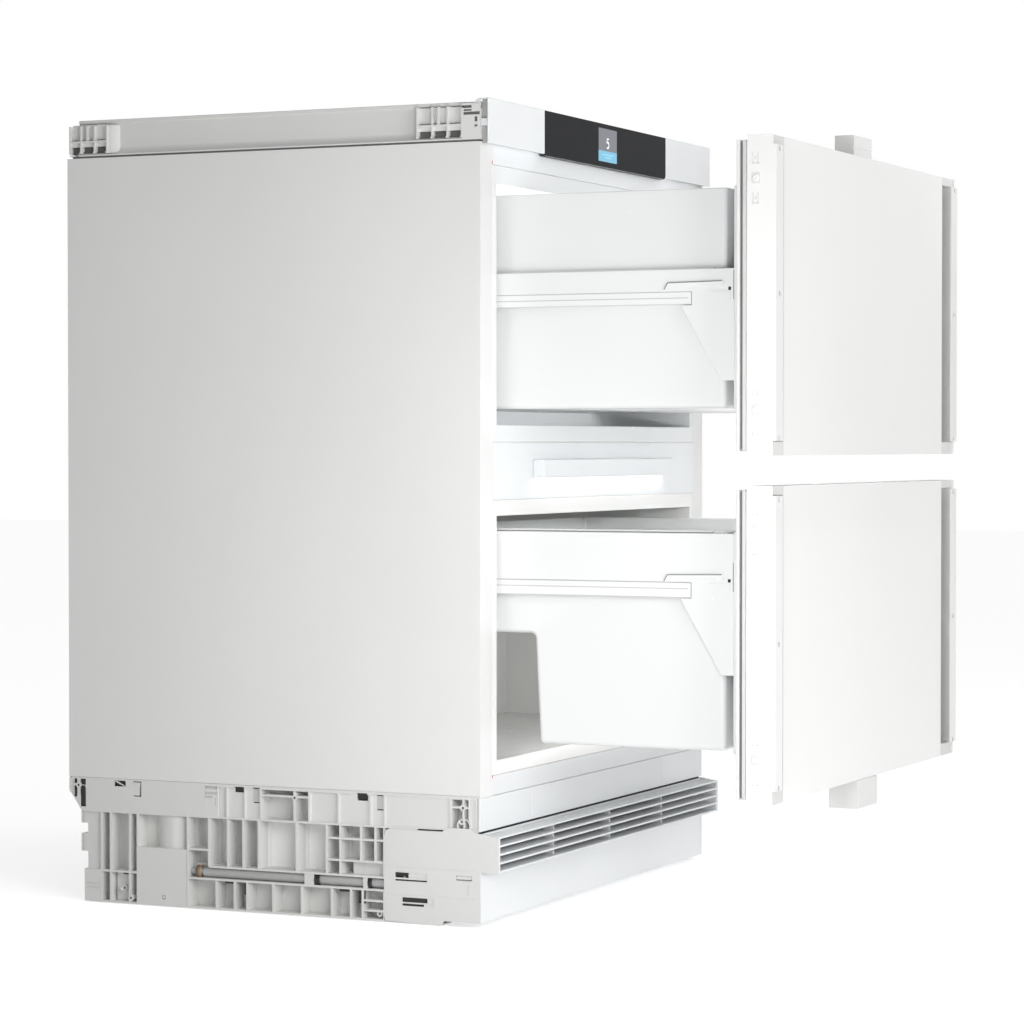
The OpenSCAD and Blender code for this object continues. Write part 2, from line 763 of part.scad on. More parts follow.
// Moulded side of the machine base: web, ribs, shelves, foot sockets, rod holders.
module base_side() {
    top = base_h - fit;
    low = ground_gap;
    front = base_front;
    shelf = band_z - 1;
    inner_front = half - plate_t - fit;
    rear_rib = base_back - 20.7;
    cover_y0 = rear_foot_y - 18.5;
    cover_y1 = rear_foot_y + 40.3;
    difference() {
        union() {
            block([web_x - web_t, web_x], [front, base_back], [low, top]);
            // upper band
            block([web_x - web_t, half], [front, base_back], [band_z - 2, band_z]);
            block([web_x - web_t, half], [front, body_d - 4.5], [top - 2, top]);
            block([half - 2, half], [313, base_back - 1.2], [band_z - 2, top]);
            ribs_at([base_back - 2.2, 314, 299.3, 288, 267, 248.5, 209.2, 192.2, 158.7, 122.4, 106.4,
                     32.5, 12], [band_z - 2, top]);
            ribs_at([front + 1], [band_z - 2, top]);
            block([half - 4, half - 2], [248.5, 288], [band_z - 2, top]);
            block([half - 4, half - 2], [106.4, 158.7], [band_z - 2, top]);
            block([half - 3, half - 1.5], [32.5, 106.4], [band_z - 2, top]);
            shelf_at([192.2, 248.5], 121.5);
            shelf_at([12, 32.5], 119.5);
            ribs_at([18.7], [band_z - 2, top]);
            rod_boss(18.7, 119.5, 3);
            rod_boss(21.5, 105.1, 3);
            rod_boss(209.2, 121.5, 2.6);
            // rear corner of the upper band
            side_plate(web_x - web_t, half) polygon([
                [base_back - 1.7, top], [body_d - 4.5, top], [body_d - 4.5, band_z + 14],
                [base_back + 3.7, band_z - 2], [base_back - 1.7, band_z - 2]
            ]);
            // notched rear edge
            block([web_x - web_t, half - 3], [rear_rib, base_back + 3.7], [82.5, shelf]);
            block([web_x - web_t, half - 3], [rear_rib, base_back - 3.7], [34, 83]);
            block([web_x - web_t, half - 3], [rear_rib, base_back + 3.7], [53, 72]);
            block([web_x - web_t, half], [rear_rib, base_back + 0.6], [low, 35]);
            // tall cells
            ribs_at([rear_rib + 0.7, rear_rib - 10.5, cover_y1 + 9.5, cover_y1, cover_y0 - 1.5],
                    [low, shelf]);
            ribs_at([309.3], [45, shelf]);
            ribs_at([286.9, 268.8, 250.7, 206.7, 172.1], [44, shelf]);
            shelf_at([cover_y1, rear_rib + 0.7], 34);
            shelf_at([309.3, cover_y0 - 1.5], 62);
            shelf_at([106.9, 309.3], 45);
            shelf_at([106.9, cover_y0 - 1.5], 32);
            // grid in front of the tall cells
            ribs_at([156.6, 133.2, 116.8, 106.9], [44, shelf]);
            shelf_at([106.9, 172.1], 82);
            shelf_at([106.9, 172.1], 60);
            // low cells
            ribs_at([300.4, 279, 264.3, 233.9, 200.9, 166.4, 144.6, 131.3, 106.9], [low, 32]);
            shelf_at([106.9, 131.3], 21);
            shelf_at([106.9, 131.3], 11);
            block([web_x - web_t, half], [106.9, base_back], [low, low + 2]);
            rod_boss(rear_rib - 24, 16.3, 3.2);
            rod_boss(cover_y1 + 8.5, 7.6, 3);
            rod_boss(113, 8, 3);
            // cover over the rear foot's gear
            block([half - 2, half], [cover_y0, cover_y1], [low, 61]);
            block([web_x - web_t, half], [cover_y0, cover_y1], [59, 61]);
            // foot sockets
            translate([rear_foot_x, rear_foot_y, socket_z])
                cylinder(r = rear_socket_r, h = shelf - socket_z);
            translate([front_foot_x, front_foot_y, socket_z])
                cylinder(r = front_socket_r, h = shelf - socket_z);
            // part behind the bracket plates
            for (y = [front, 30, 84])
                block([web_x - web_t, inner_front], [y, y + 2], [low, shelf]);
            block([web_x - web_t, inner_front], [front, 106.9], [low, low + 2]);
            // holders of the adjusting rod
            for (y = [193, 126])
                block([web_x - web_t, half - 1], [y, y + 5], [32, 45]);
        }
        // foot spindles and pads
        for (place = [[rear_foot_x, rear_foot_y], [front_foot_x, front_foot_y]])
            translate([place[0], place[1], -1]) {
                cylinder(r = spindle_r + shaft_gap, h = spindle_top + 2.5);
                cylinder(r = pad_r + 0.5, h = socket_z + 1);
            }
        // adjusting rod
        rod_along_y(rod_x, rod_z, rod_r + shaft_gap, [0, rod_y1 + 2]);
        rod_along_y(rod_x, rod_z, collar_r + 0.4, [collar_y[0] - 1, collar_y[1] + 1]);
        rod_along_y(rod_x, rod_z, rod_pin_r + shaft_gap, [rod_y1 + 1, rod_y1 + 27]);
        // room for the bracket plates
        block([inner_front, half + 1], [-1, plate_len + fit], [-1, band_z - 2 + fit]);
        block([inner_front, half + 1], [-1, 43 + fit], [-1, band_z + 2]);
        // slots in the upper band
        block([half - 3, half + 1], [cover_y1 + 14, cover_y1 + 27.9], [122.9, top - 2]);
        block([half - 3, half + 1], [cover_y1 - 4.3, cover_y1 - 2.8], [114, top - 2.5]);
        block([half - 3, half + 1], [cover_y1 - 4.3, cover_y1 + 5.5], [125.5, 127]);
        block([half - 5, half + 1], [268.5, 278.5], [122.9, top - 2]);
        block([half - 5, half + 1], [125.9, 138.1], [121, top - 2]);
        block([half - 3, half + 1], [361, 365], [8, 12]);
        // four pockets of the rear corner
        for (y = [[0, 7], [9.5, 13.8]], z = [[15, 25], [26.7, 30.1]])
            block([web_x, half + 1], [base_back + y[0] - 0.2, base_back + y[1] - 0.2],
                  [band_z + z[0], band_z + z[1]]);
    }
}

// Screw boss in a cell of the base side, along X.
module rod_boss(y, z, r) {
    translate([web_x - 1, y, z]) rotate([0, 90, 0]) difference() {
        cylinder(r = r, h = web_in - 1, $fn = 32);
        translate([0, 0, 6]) cylinder(r = r / 2, h = web_in, $fn = 32);
    }
}

module base_side_left() {
    color([0.84, 0.84, 0.83]) placed() mirror([1, 0, 0]) base_side();
}

module base_side_right() {
    color([0.84, 0.84, 0.83]) placed() base_side();
}

// Floor of the machine niche, cut out round the foot sockets.
module base_tray() {
    reach = web_x - web_t - fit;
    color([0.7, 0.71, 0.72]) placed() difference() {
        block([-reach, reach], [plinth_t + fit, base_back], [tray_z, tray_top]);
        both_sides() {
            translate([front_foot_x, front_foot_y, tray_z - 1])
                cylinder(r = front_socket_r + fit, h = tray_t + 2);
            translate([rear_foot_x, rear_foot_y, tray_z - 1])
                cylinder(r = rear_socket_r + fit, h = tray_t + 2);
        }
    }
}

// ---------------------------------------------------------------- feet

module foot(x, y) {
    placed() translate([x, y, 0]) {
        cylinder(r1 = pad_r - 1, r2 = pad_r, h = 1);
        translate([0, 0, 1]) cylinder(r = pad_r, h = pad_h - 3);
        translate([0, 0, pad_h - 2]) cylinder(r1 = pad_r, r2 = pad_r - 5, h = 2);
        cylinder(r = spindle_r, h = spindle_top);
    }
}

module foot_front_left() {
    color([0.3, 0.3, 0.31]) foot(-front_foot_x, front_foot_y);
}

module foot_front_right() {
    color([0.3, 0.3, 0.31]) foot(front_foot_x, front_foot_y);
}

module foot_rear_left() {
    color([0.3, 0.3, 0.31]) foot(-rear_foot_x, rear_foot_y);
}

module foot_rear_right() {
    color([0.3, 0.3, 0.31]) foot(rear_foot_x, rear_foot_y);
}

// Rod from the front to the rear foot's gear, with a slot for a screwdriver.
module foot_rod(x) {
    placed() difference() {
        union() {
            rod_along_y(x, rod_z, rod_r, [rod_y0, rod_y1]);
            rod_along_y(x, rod_z, rod_pin_r, [rod_y1, rod_y1 + 24]);
            rod_along_y(x, rod_z, collar_r, collar_y);
        }
        block([x - 0.6, x + 0.6], [rod_y0 - 1, rod_y0 + 2], [rod_z - rod_r - 1, rod_z + rod_r + 1]);
    }
}

module foot_rod_left() {
    color([0.78, 0.78, 0.78]) foot_rod(-rod_x);
}

module foot_rod_right() {
    color([0.78, 0.78, 0.78]) foot_rod(rod_x);
}

// ---------------------------------------------------------------- cooling

// Hermetic can on a foot plate, with pipe stubs and a terminal box.
module compressor() {
    rim_z = can_h * 0.55;
    steps = 12;
    dome = 38;
    color([0.12, 0.12, 0.13]) placed() translate([-can_x, can_y, can_z]) {
        difference() {
            front = can_r + 8;
            translate([-front, -can_r + 8, 0]) cube([2 * front, 2 * can_r - 16, 4]);
            for (x = [-1, 1], y = [-1, 1])
                translate([x * (can_r - 2), y * (can_r - 20), -1]) cylinder(r = 6, h = 6);
        }
        translate([0, 0, 3]) rotate_extrude() polygon(concat(
            [[0, 0], [can_r - 22, 0], [can_r - 8, 8], [can_r - 3, 20], [can_r - 3, rim_z - 3],
             [can_r, rim_z - 3], [can_r, rim_z + 3], [can_r - 4, rim_z + 3]],
            [for (i = [0 : steps - 1])
                [(can_r - 4) * cos(90 * i / steps), can_h - dome + dome * sin(90 * i / steps)]],
            [[0, can_h]]
        ));
        translate([can_r - 30, -18, 46]) cube([38, 36, 40]);
        for (p = [[-20, 100, 3.5], [20, 40, 3]])
            translate([p[0], -can_r + 16, p[1]]) rotate([90, 0, 0]) cylinder(r = p[2], h = 34);
    }
}

// Rubber mounts between the compressor's plate and the tray.
module compressor_mounts() {
    color([0.1, 0.1, 0.1]) placed() for (x = [-1, 1], y = [-1, 1])
        translate([-can_x + x * (can_r - 2), can_y + y * (can_r - 20), foot_up]) {
            cylinder(r = 9, h = mount_h - fit);
            cylinder(r = 5.5, h = mount_h + 9);
            translate([0, 0, mount_h + 4 + fit]) cylinder(r = 8.5, h = 4);
        }
}

// Finned block of tubes behind the grille.
module condenser() {
    x0 = fan_x - condenser_w / 2;
    y0 = 40;
    z0 = foot_up;
    fins = floor((condenser_w - 20) / fin_step);
    rows = 3;
    color([0.62, 0.63, 0.64]) placed() {
        for (i = [0 : fins])
            block([x0 + 8 + i * fin_step, x0 + 9 + i * fin_step], [y0, y0 + condenser_d],
                  [z0 + 6, z0 + condenser_h - 4]);
        for (x = [x0, x0 + condenser_w - 2])
            block([x, x + 2], [y0 - 2, y0 + condenser_d + 2], [z0, z0 + condenser_h]);
        for (i = [0 : rows - 1], y = [y0 + 15, y0 + condenser_d - 15])
            translate([x0 - 6, y, z0 + 18 + i * (condenser_h - 32) / (rows - 1)]) rotate([0, 90, 0])
                cylinder(r = 3.5, h = condenser_w + 12, $fn = 24);
    }
}

// Square frame with a round duct and a spider that carries the shaft.
module fan_frame() {
    y = [fan_y, fan_y + fan_d];
    color([0.16, 0.16, 0.17]) placed() {
        difference() {
            block([fan_x - fan_w / 2, fan_x + fan_w / 2], y, [foot_up, foot_up + fan_w]);
            rod_along_y(fan_x, fan_z, fan_r + 1.5, [fan_y - 1, fan_y + fan_d + 1]);
        }
        difference() {
            union() {
                rod_along_y(fan_x, fan_z, 14, [y[1] - 6, y[1]]);
                for (a = [45 : 90 : 315]) translate([fan_x, y[1] - 5.5, fan_z]) rotate([0, a, 0])
                    block([10, fan_r + 3], [0, 5], [-2, 2]);
            }
            rod_along_y(fan_x, fan_z, 3 + shaft_gap, [y[1] - 7, y[1] + 1]);
        }
    }
}

// Hub, shaft and pitched blades of a fan whose shaft lies along Y.
module rotor(x, y, z, r, hub, depth, blades, shaft) {
    placed() translate([x, y, z]) {
        rotate([-90, 0, 0]) cylinder(r = hub, h = depth);
        rotate([-90, 0, 0]) cylinder(r = 3, h = shaft);
        for (i = [0 : blades - 1]) rotate([0, i * 360 / blades, 0])
            intersection() {
                translate([hub - 2, depth / 2, 0]) rotate([38, 0, 0])
                    translate([0, -depth, -0.8]) cube([r, 2 * depth, 1.6]);
                translate([0, 0.5, 0]) rotate([-90, 0, 0]) cylinder(r = r, h = depth - 1);
            }
    }
}

module condenser_fan_rotor() {
    color([0.25, 0.25, 0.26]) rotor(fan_x, fan_y + 1, fan_z, fan_r, 14, 16, 7, fan_d - 2);
}

// Open tray over the compressor, where the melt water dries off.
module drip_tray() {
    z0 = can_top + 3 + fit - 4;
    x = [-can_x - can_r - 5, -can_x + can_r + 5];
    y = [can_y - can_r + 10, can_y + can_r - 10];
    color([0.2, 0.2, 0.21]) placed() translate([0, 0, z0]) difference() {
        linear_extrude(melt_tray_h) round_rect(x, y, 12);
        translate([0, 0, 2]) linear_extrude(melt_tray_h)
            round_rect([x[0] + 2, x[1] - 2], [y[0] + 2, y[1] - 2], 10);
    }
}

// Appliance socket on the tray, facing the wall.
module mains_inlet() {
    y1 = base_back - 4;
    color([0.15, 0.15, 0.16]) placed() {
        difference() {
            block([205, 245], [y1 - 34, y1], [foot_up, foot_up + 36]);
            block([211, 239], [y1 - 18, y1 + 1], [foot_up + 8, foot_up + 28]);
        }
        for (p = [[217, 14], [225, 19], [233, 14]])
            block([p[0] - 1, p[0] + 1], [y1 - 19, y1 - 4], [foot_up + p[1], foot_up + p[1] + 5]);
    }
}

// Cold plate with its flattened tubes, behind the upper liner.
module evaporator() {
    y0 = inner_d + liner_t + fit;
    rows = 6;
    pitch = (up_z1 - up_z0 - 39.3) / (rows - 1);
    color([0.8, 0.81, 0.83]) placed() {
        block([-evap_w / 2, evap_w / 2], [y0, y0 + evap_t], [up_z0 + 4, up_z1 - 4]);
        for (i = [0 : rows - 1])
            block([-evap_w / 2 + 10, evap_w / 2 - 10], [y0 + evap_t, y0 + evap_t + 2.4],
                  [up_z0 + 18 + i * pitch, up_z0 + 26 + i * pitch]);
        both_sides() block([evap_w / 2 - 18, evap_w / 2 - 10], [y0 + evap_t, y0 + evap_t + 2.4],
                           [up_z0 + 18, up_z0 + 26 + (rows - 1) * pitch]);
    }
}

// Low box on the back wall of the upper compartment.
module air_fan_frame() {
    y1 = inner_d - fit;
    y0 = y1 - air_box_d;
    color([0.93, 0.94, 0.95]) placed() {
        difference() {
            front_view(y0, y1)
                round_rect([-air_box_w / 2, air_box_w / 2],
                           [air_fan_z - air_box_h / 2, air_fan_z + air_box_h / 2], 8);
            rod_along_y(0, air_fan_z, air_fan_r + 1.5, [y0 - 1, y1 - 5]);
            rod_along_y(0, air_fan_z, 3 + shaft_gap, [y1 - 6, y1 + 1]);
        }
    }
}

module air_fan_rotor() {
    color([0.85, 0.86, 0.87])
        rotor(0, inner_d - fit - air_box_d + 3, air_fan_z, air_fan_r, 12, 12, 7, air_box_d - 4);
}

// Blades on the compartment walls that the middle rails run on.
module cabinet_rails() {
    color([0.72, 0.73, 0.74]) placed()
        for (p = [[up_front + upper_band_z, upper_rail_h], [low_front + lower_band_z, lower_rail_h]])
            both_sides() fixed_rail(p[0], p[1]);
}

module fixed_rail(z, h) {
    top = z - fit - runner_t - run_gap - mid_t - run_gap;
    under = z - h - 0.5;
    block([rail_x - blade_t / 2, rail_x + blade_t / 2], [fixed_y0, fixed_y1], [under - 2.5, top]);
    block([rail_x - blade_t / 2, open_hw - fit], [fixed_y0, fixed_y1], [under - 2.5, under]);
}

// ---------------------------------------------------------------- drawer fronts

module front_skin(z, h) {
    placed() block([-skin_hw, skin_hw], [y_face, y_skin], [z, z + h]);
}

// Foam body of the front; plain ends close the side channels at top and bottom.
module front_core(z, h) {
    channel = skin_hw + 0.3;
    placed() difference() {
        block([-core_hw, core_hw], [y_face, y_core - fit], [z, z + h]);
        block([-channel, channel], [y_face - 1, y_skin + fit], [z - 1, z + h + 1]);
        both_sides() block([skin_hw - 0.2, core_hw + 1], [y_face - 1, y_wing + fit],
                           [z + flange_low - 1, z + h - flange_high + 1]);
    }
}

// Inner sheet of the front with its bevelled plug.
module front_liner(z, h) {
    placed() {
        block([-core_hw, core_hw], [y_core, y_plate], [z, z + h]);
        side_plate(-plug_hw, plug_hw) polygon([
            [y_plate, z + plug_inset], [y_plug - 2 * plug_bevel, z + plug_inset],
            [y_plug, z + plug_inset + plug_bevel],
            [y_plug, z + h - plug_inset - plug_bevel],
            [y_plug - 2 * plug_bevel, z + h - plug_inset],
            [y_plate, z + h - plug_inset]
        ]);
    }
}

// One level of the seal: a frame of the given inset and width between two depths.
module seal_ring(z, h, inset, width, y) {
    x = core_hw - 5.3 - inset;
    z0 = z + gasket_inset + inset;
    z1 = z + h - gasket_inset - inset;
    difference() {
        block([-x, x], y, [z0, z1]);
        block([-x + width, x - width], [y[0] - 1, y[1] + 1], [z0 + width, z1 - width]);
    }
}

// Soft seal with two lips and the folds between them.
module gasket(z, h) {
    narrow = gasket_w - 2 * gasket_fold;
    placed() {
        seal_ring(z, h, gasket_fold, narrow, [y_plate, y_seal]);
        seal_ring(z, h, 0, gasket_w, [y_plate + 4, y_plate + 5.7]);
        seal_ring(z, h, 0, gasket_w, [y_seal - 3.8, y_seal]);
    }
}

// Folded rail beside the skin; its flange takes the furniture panel's screws.
module panel_rail(z, h) {
    main = [z + flange_low, z + h - flange_high];
    x_in = front_hw - rail_sheet;
    step = (h - panel_hole_low - panel_hole_high) / 2;
    difference() {
        union() {
            block([x_in, front_hw], [y_web, y_core + front_plate_t], [z, z + h]);
            block([x_in, front_hw], [y_flange, y_web + 1], main);
            block([front_hw - flange_w, front_hw], [y_flange, y_flange + rail_sheet], main);
            block([front_hw - flange_w - 9, front_hw], [y_wing - rail_sheet, y_wing], main);
        }
        for (i = [0 : 2])
            rod_along_y(front_hw - panel_hole_in, z + panel_hole_low + i * step,
                        panel_hole_d / 2, [y_flange - 1, y_flange + rail_sheet + 1]);
    }
}

module panel_rails(z, h) {
    placed() both_sides() panel_rail(z, h);
}

// ---------------------------------------------------------------- drawers

// Side frame: the band along the bin and the stay that ties it to the front.
module side_frame(band_z0, height, rail_h, stay_z) {
    step_z = band_z0 - rail_h - 0.5;
    block([frame_x - frame_t, frame_x], [frame_y, frame_back], [band_z0, band_z0 + height]);
    side_plate(frame_x - stay_t, frame_x) polygon([
        [frame_y, band_z0 + 1], [stay_y, band_z0 + 1], [stay_y, step_z], [stay_y + 12, step_z],
        [frame_y + stay_foot, stay_z], [frame_y, stay_z]
    ]);
}

module side_frames(band_z0, height, rail_h, stay_z) {
    placed() both_sides() side_frame(band_z0, height, rail_h, stay_z);
}

// Downward open rail under the band, and the catch lever on the band's outside.
module drawer_rail(z, h) {
    x0 = frame_x - frame_t;
    difference() {
        block([x0, frame_x], [runner_y0, runner_y1], [z - h, z - fit]);
        block([x0 + runner_t, frame_x - runner_t], [runner_y0 - 1, runner_y1 + 1],
              [z - h - 1, z - fit - runner_t]);
    }
    side_plate(frame_x + fit, frame_x + 2) polygon([
        [stay_y + 34, z + 5], [stay_y + 30, z + 11.5], [stay_y - 27, z + 12.5],
        [stay_y - 29, z + 8], [stay_y - 22, z + 6.5], [stay_y - 20, z + 9], [stay_y + 22, z + 8]
    ]);
}

module drawer_rails(z, h) {
    placed() both_sides() drawer_rail(z, h);
}

// Middle rail: runs inside the drawer's rail and on the cabinet's, at half the drawer's speed.
module mid_rail(z, h) {
    x0 = frame_x - frame_t + runner_t + run_gap;
    x1 = frame_x - runner_t - run_gap;
    top = z - fit - runner_t - run_gap;
    difference() {
        block([x0, x1], [mid_y0, mid_y1], [z - h + 0.4, top]);
        block([x0 + mid_t, x1 - mid_t], [mid_y0 - 1, mid_y1 + 1], [z - h - 1, top - mid_t]);
    }
}

module mid_rails(z, h) {
    placed() both_sides() mid_rail(z, h);
}

// Deep bin of the upper drawer, hung on its ledge.
module upper_bin_shape() {
    z = up_front;
    ledge_z = z + upper_band_z + upper_band_h + fit;
    placed() difference() {
        union() {
            translate([0, 0, z + upper_bin_z]) linear_extrude(upper_bin_top - z - upper_bin_z)
                round_rect([-bin_hw, bin_hw], [bin_y, bin_back], upper_bin_r);
            both_sides() block([bin_hw - 1, bin_hw + ledge_w], [bin_y + upper_bin_r, bin_back - upper_bin_r],
                               [ledge_z, ledge_z + ledge_t]);
        }
        translate([0, 0, z + upper_bin_z + bin_t]) linear_extrude(upper_bin_top)
            round_rect([-bin_hw + bin_t, bin_hw - bin_t], [bin_y + bin_t, bin_back - bin_t],
                       upper_bin_r - bin_t);
    }
}

// Bin of the lower drawer: deep in front, and shallow over the step of the machine niche.
module lower_bin_shape() {
    z = low_front;
    top = z + lower_band_z + lower_band_h + fit;
    deep_y1 = bin_y + deep_len;
    placed() difference() {
        union() {
            translate([0, 0, z + lower_bin_z]) linear_extrude(top - z - lower_bin_z)
                round_rect([-bin_hw, bin_hw], [bin_y, deep_y1], lower_bin_r);
            translate([0, 0, z + lower_tray_z]) linear_extrude(top - z - lower_tray_z)
                round_rect([-bin_hw, bin_hw], [deep_y1 - 3 * lower_bin_r, bin_back], upper_bin_r);
            both_sides() block([bin_hw - 1, bin_hw + ledge_w], [bin_y + lower_bin_r, bin_back - lower_bin_r],
                               [top, top + 2]);
            translate([0, 0, top]) linear_extrude(2) {
                round_rect([-bin_hw, bin_hw], [bin_y, deep_y1], lower_bin_r);
                round_rect([-bin_hw, bin_hw], [deep_y1 - 3 * lower_bin_r, bin_back], upper_bin_r);
            }
        }
        translate([0, 0, z + lower_bin_z + bin_t]) linear_extrude(2 * lower_open_h)
            round_rect([-bin_hw + bin_t, bin_hw - bin_t], [bin_y + bin_t, deep_y1 - bin_t],
                       lower_bin_r - bin_t);
        translate([0, 0, z + lower_tray_z + bin_t]) linear_extrude(2 * lower_open_h)
            round_rect([-bin_hw + bin_t, bin_hw - bin_t], [deep_y1, bin_back - bin_t],
                       upper_bin_r - bin_t);
    }
}

module upper_block() {
    y1 = -travel - upper_block_back;
    z0 = up_front + up_front_h + fit;
    placed() difference() {
        block([-upper_block_hw, upper_block_hw], [y1 - upper_block_d, y1], [z0, z0 + upper_block_h]);
        block([-upper_block_hw - 1, upper_block_hw + 1], [y1 - upper_block_d - 1, y1 - upper_block_d + 1.2],
              [z0 + 8, z0 + 9.4]);
    }
}

module lower_block() {
    y1 = -travel - lower_block_back;
    y0 = y1 - lower_block_d;
    z1 = low_front - fit;
    placed() difference() {
        block([-lower_block_hw, lower_block_hw], [y0, y1], [z1 - lower_block_h, z1]);
        block([-lower_block_hw + 4, -lower_block_hw + 5.4], [y0 - 1, y0 + 1.2],
              [z1 - lower_block_h - 1, z1 + 1]);
    }
}

module upper_front_skin() {
    color([0.96, 0.96, 0.96]) front_skin(up_front, up_front_h);
}

module upper_front_core() {
    color([0.85, 0.85, 0.84]) front_core(up_front, up_front_h);
}

module upper_front_liner() {
    color([0.95, 0.96, 0.96]) front_liner(up_front, up_front_h);
}

module upper_gasket() {
    color([0.75, 0.75, 0.75]) gasket(up_front, up_front_h);
}

module upper_panel_rails() {
    color([0.9, 0.9, 0.9]) panel_rails(up_front, up_front_h);
}

module upper_stop_block() {
    color([0.9, 0.9, 0.9]) upper_block();
}

module upper_side_frames() {
    color([0.97, 0.97, 0.97])
        side_frames(up_front + upper_band_z, upper_band_h, upper_rail_h, up_front + upper_stay_z);
}

module upper_bin() {
    color([0.97, 0.98, 0.98]) upper_bin_shape();
}

module upper_drawer_rails() {
    color([0.85, 0.86, 0.87]) drawer_rails(up_front + upper_band_z, upper_rail_h);
}

module upper_mid_rails() {
    color([0.78, 0.79, 0.8]) mid_rails(up_front + upper_band_z, upper_rail_h);
}

module lower_front_skin() {
    color([0.96, 0.96, 0.96]) front_skin(low_front, low_front_h);
}

module lower_front_core() {
    color([0.85, 0.85, 0.84]) front_core(low_front, low_front_h);
}

module lower_front_liner() {
    color([0.95, 0.96, 0.96]) front_liner(low_front, low_front_h);
}

module lower_gasket() {
    color([0.75, 0.75, 0.75]) gasket(low_front, low_front_h);
}

module lower_panel_rails() {
    color([0.9, 0.9, 0.9]) panel_rails(low_front, low_front_h);
}

module lower_stop_block() {
    color([0.9, 0.9, 0.9]) lower_block();
}

module lower_side_frames() {
    color([0.97, 0.97, 0.97])
        side_frames(low_front + lower_band_z, lower_band_h, lower_rail_h, low_front + lower_stay_z);
}

module lower_bin() {
    color([0.97, 0.98, 0.98]) lower_bin_shape();
}

module lower_drawer_rails() {
    color([0.85, 0.86, 0.87]) drawer_rails(low_front + lower_band_z, lower_rail_h);
}

module lower_mid_rails() {
    color([0.78, 0.79, 0.8]) mid_rails(low_front + lower_band_z, lower_rail_h);
}

side_panel_left();
side_panel_right();
back_panel();
niche_pan();
insulation_slabs();
liner_upper();
liner_lower();
front_cross_bars();
mullion_fascia();
lamp_bar();
lamp_lens();
top_frame();
top_corner_blocks();
control_housing();
control_glass();
control_display();
bottom_fascia();
louvre_grille();
plinth_panel();
base_side_left();
base_side_right();
base_brackets();
base_tray();
compressor();
compressor_mounts();
condenser();
fan_frame();
condenser_fan_rotor();
drip_tray();
mains_inlet();
evaporator();
air_fan_frame();
air_fan_rotor();
cabinet_rails();
foot_front_left();
foot_front_right();
foot_rear_left();
foot_rear_right();
foot_rod_left();
foot_rod_right();
upper_front_skin();
upper_front_core();
upper_front_liner();
upper_gasket();
upper_panel_rails();
upper_stop_block();
upper_side_frames();
upper_bin();
upper_drawer_rails();
upper_mid_rails();
lower_front_skin();
lower_front_core();
lower_front_liner();
lower_gasket();
lower_panel_rails();
lower_stop_block();
lower_side_frames();
lower_bin();
lower_drawer_rails();
lower_mid_rails();
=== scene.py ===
"""Looks of an undercounter drawer refrigerator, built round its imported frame.

Every piece is a surface worked out in millimetres in the frame's own axes: +Z up, the drawers open
towards -Y, X across the front. FRONT is the cabinet's front plane.
"""

import json
import math

import bmesh
import bpy
import numpy as np
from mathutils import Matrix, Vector


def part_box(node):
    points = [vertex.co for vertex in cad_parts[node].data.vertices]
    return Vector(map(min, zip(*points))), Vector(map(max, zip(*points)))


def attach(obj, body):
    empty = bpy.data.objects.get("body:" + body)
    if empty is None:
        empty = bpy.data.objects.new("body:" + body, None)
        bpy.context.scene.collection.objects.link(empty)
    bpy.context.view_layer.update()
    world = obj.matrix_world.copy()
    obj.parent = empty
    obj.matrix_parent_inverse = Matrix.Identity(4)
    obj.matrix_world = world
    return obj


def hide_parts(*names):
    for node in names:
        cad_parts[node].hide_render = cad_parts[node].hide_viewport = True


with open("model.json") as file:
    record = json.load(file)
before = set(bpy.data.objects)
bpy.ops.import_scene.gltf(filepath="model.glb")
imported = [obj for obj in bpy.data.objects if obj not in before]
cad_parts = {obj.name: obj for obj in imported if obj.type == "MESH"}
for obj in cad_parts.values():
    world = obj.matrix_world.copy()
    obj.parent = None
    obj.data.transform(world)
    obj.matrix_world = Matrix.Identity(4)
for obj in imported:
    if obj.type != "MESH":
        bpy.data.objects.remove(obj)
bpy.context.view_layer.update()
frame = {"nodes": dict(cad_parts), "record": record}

bl_info = {
    "name": "Undercounter drawer refrigerator",
    "version": (1, 0, 0),
    "blender": (4, 5, 0),
    "location": "View3D > Sidebar > Refrigerator",
    "description": "Finishes and fine parts of a built-under refrigerator with two drawers",
    "category": "Object",
}

MM = 0.001


def span(node):
    """The two corners of a CAD node's box, in millimetres."""
    return [np.round(np.array(corner) / MM, 4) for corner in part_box(node)]


FRONT = span("mullion_fascia")[0][1]
HALF = span("side_panel_right")[1][0]
LEVELS = ("upper", "lower")


# ---------------------------------------------------------------- colours and nodes

def linear(code):
    """An sRGB hex code as linear red, green, blue and alpha: the inverse of the sRGB curve."""
    s = np.array([int(code[i:i + 2], 16) for i in (1, 3, 5)]) / 255
    rgb = np.where(s <= 0.04045, s / 12.92, ((s + 0.055) / 1.055) ** 2.4)
    return (*rgb, 1.0)


def add(tree, kind, sockets=None, **settings):
    """Adds one node; sockets maps an input's name or number to a value or to an output to link."""
    node = tree.nodes.new(kind)
    for key, value in settings.items():
        setattr(node, key, value)
    for key, value in (sockets or {}).items():
        if isinstance(value, bpy.types.NodeSocket):
            tree.links.new(value, node.inputs[key])
        else:
            node.inputs[key].default_value = value
    return node


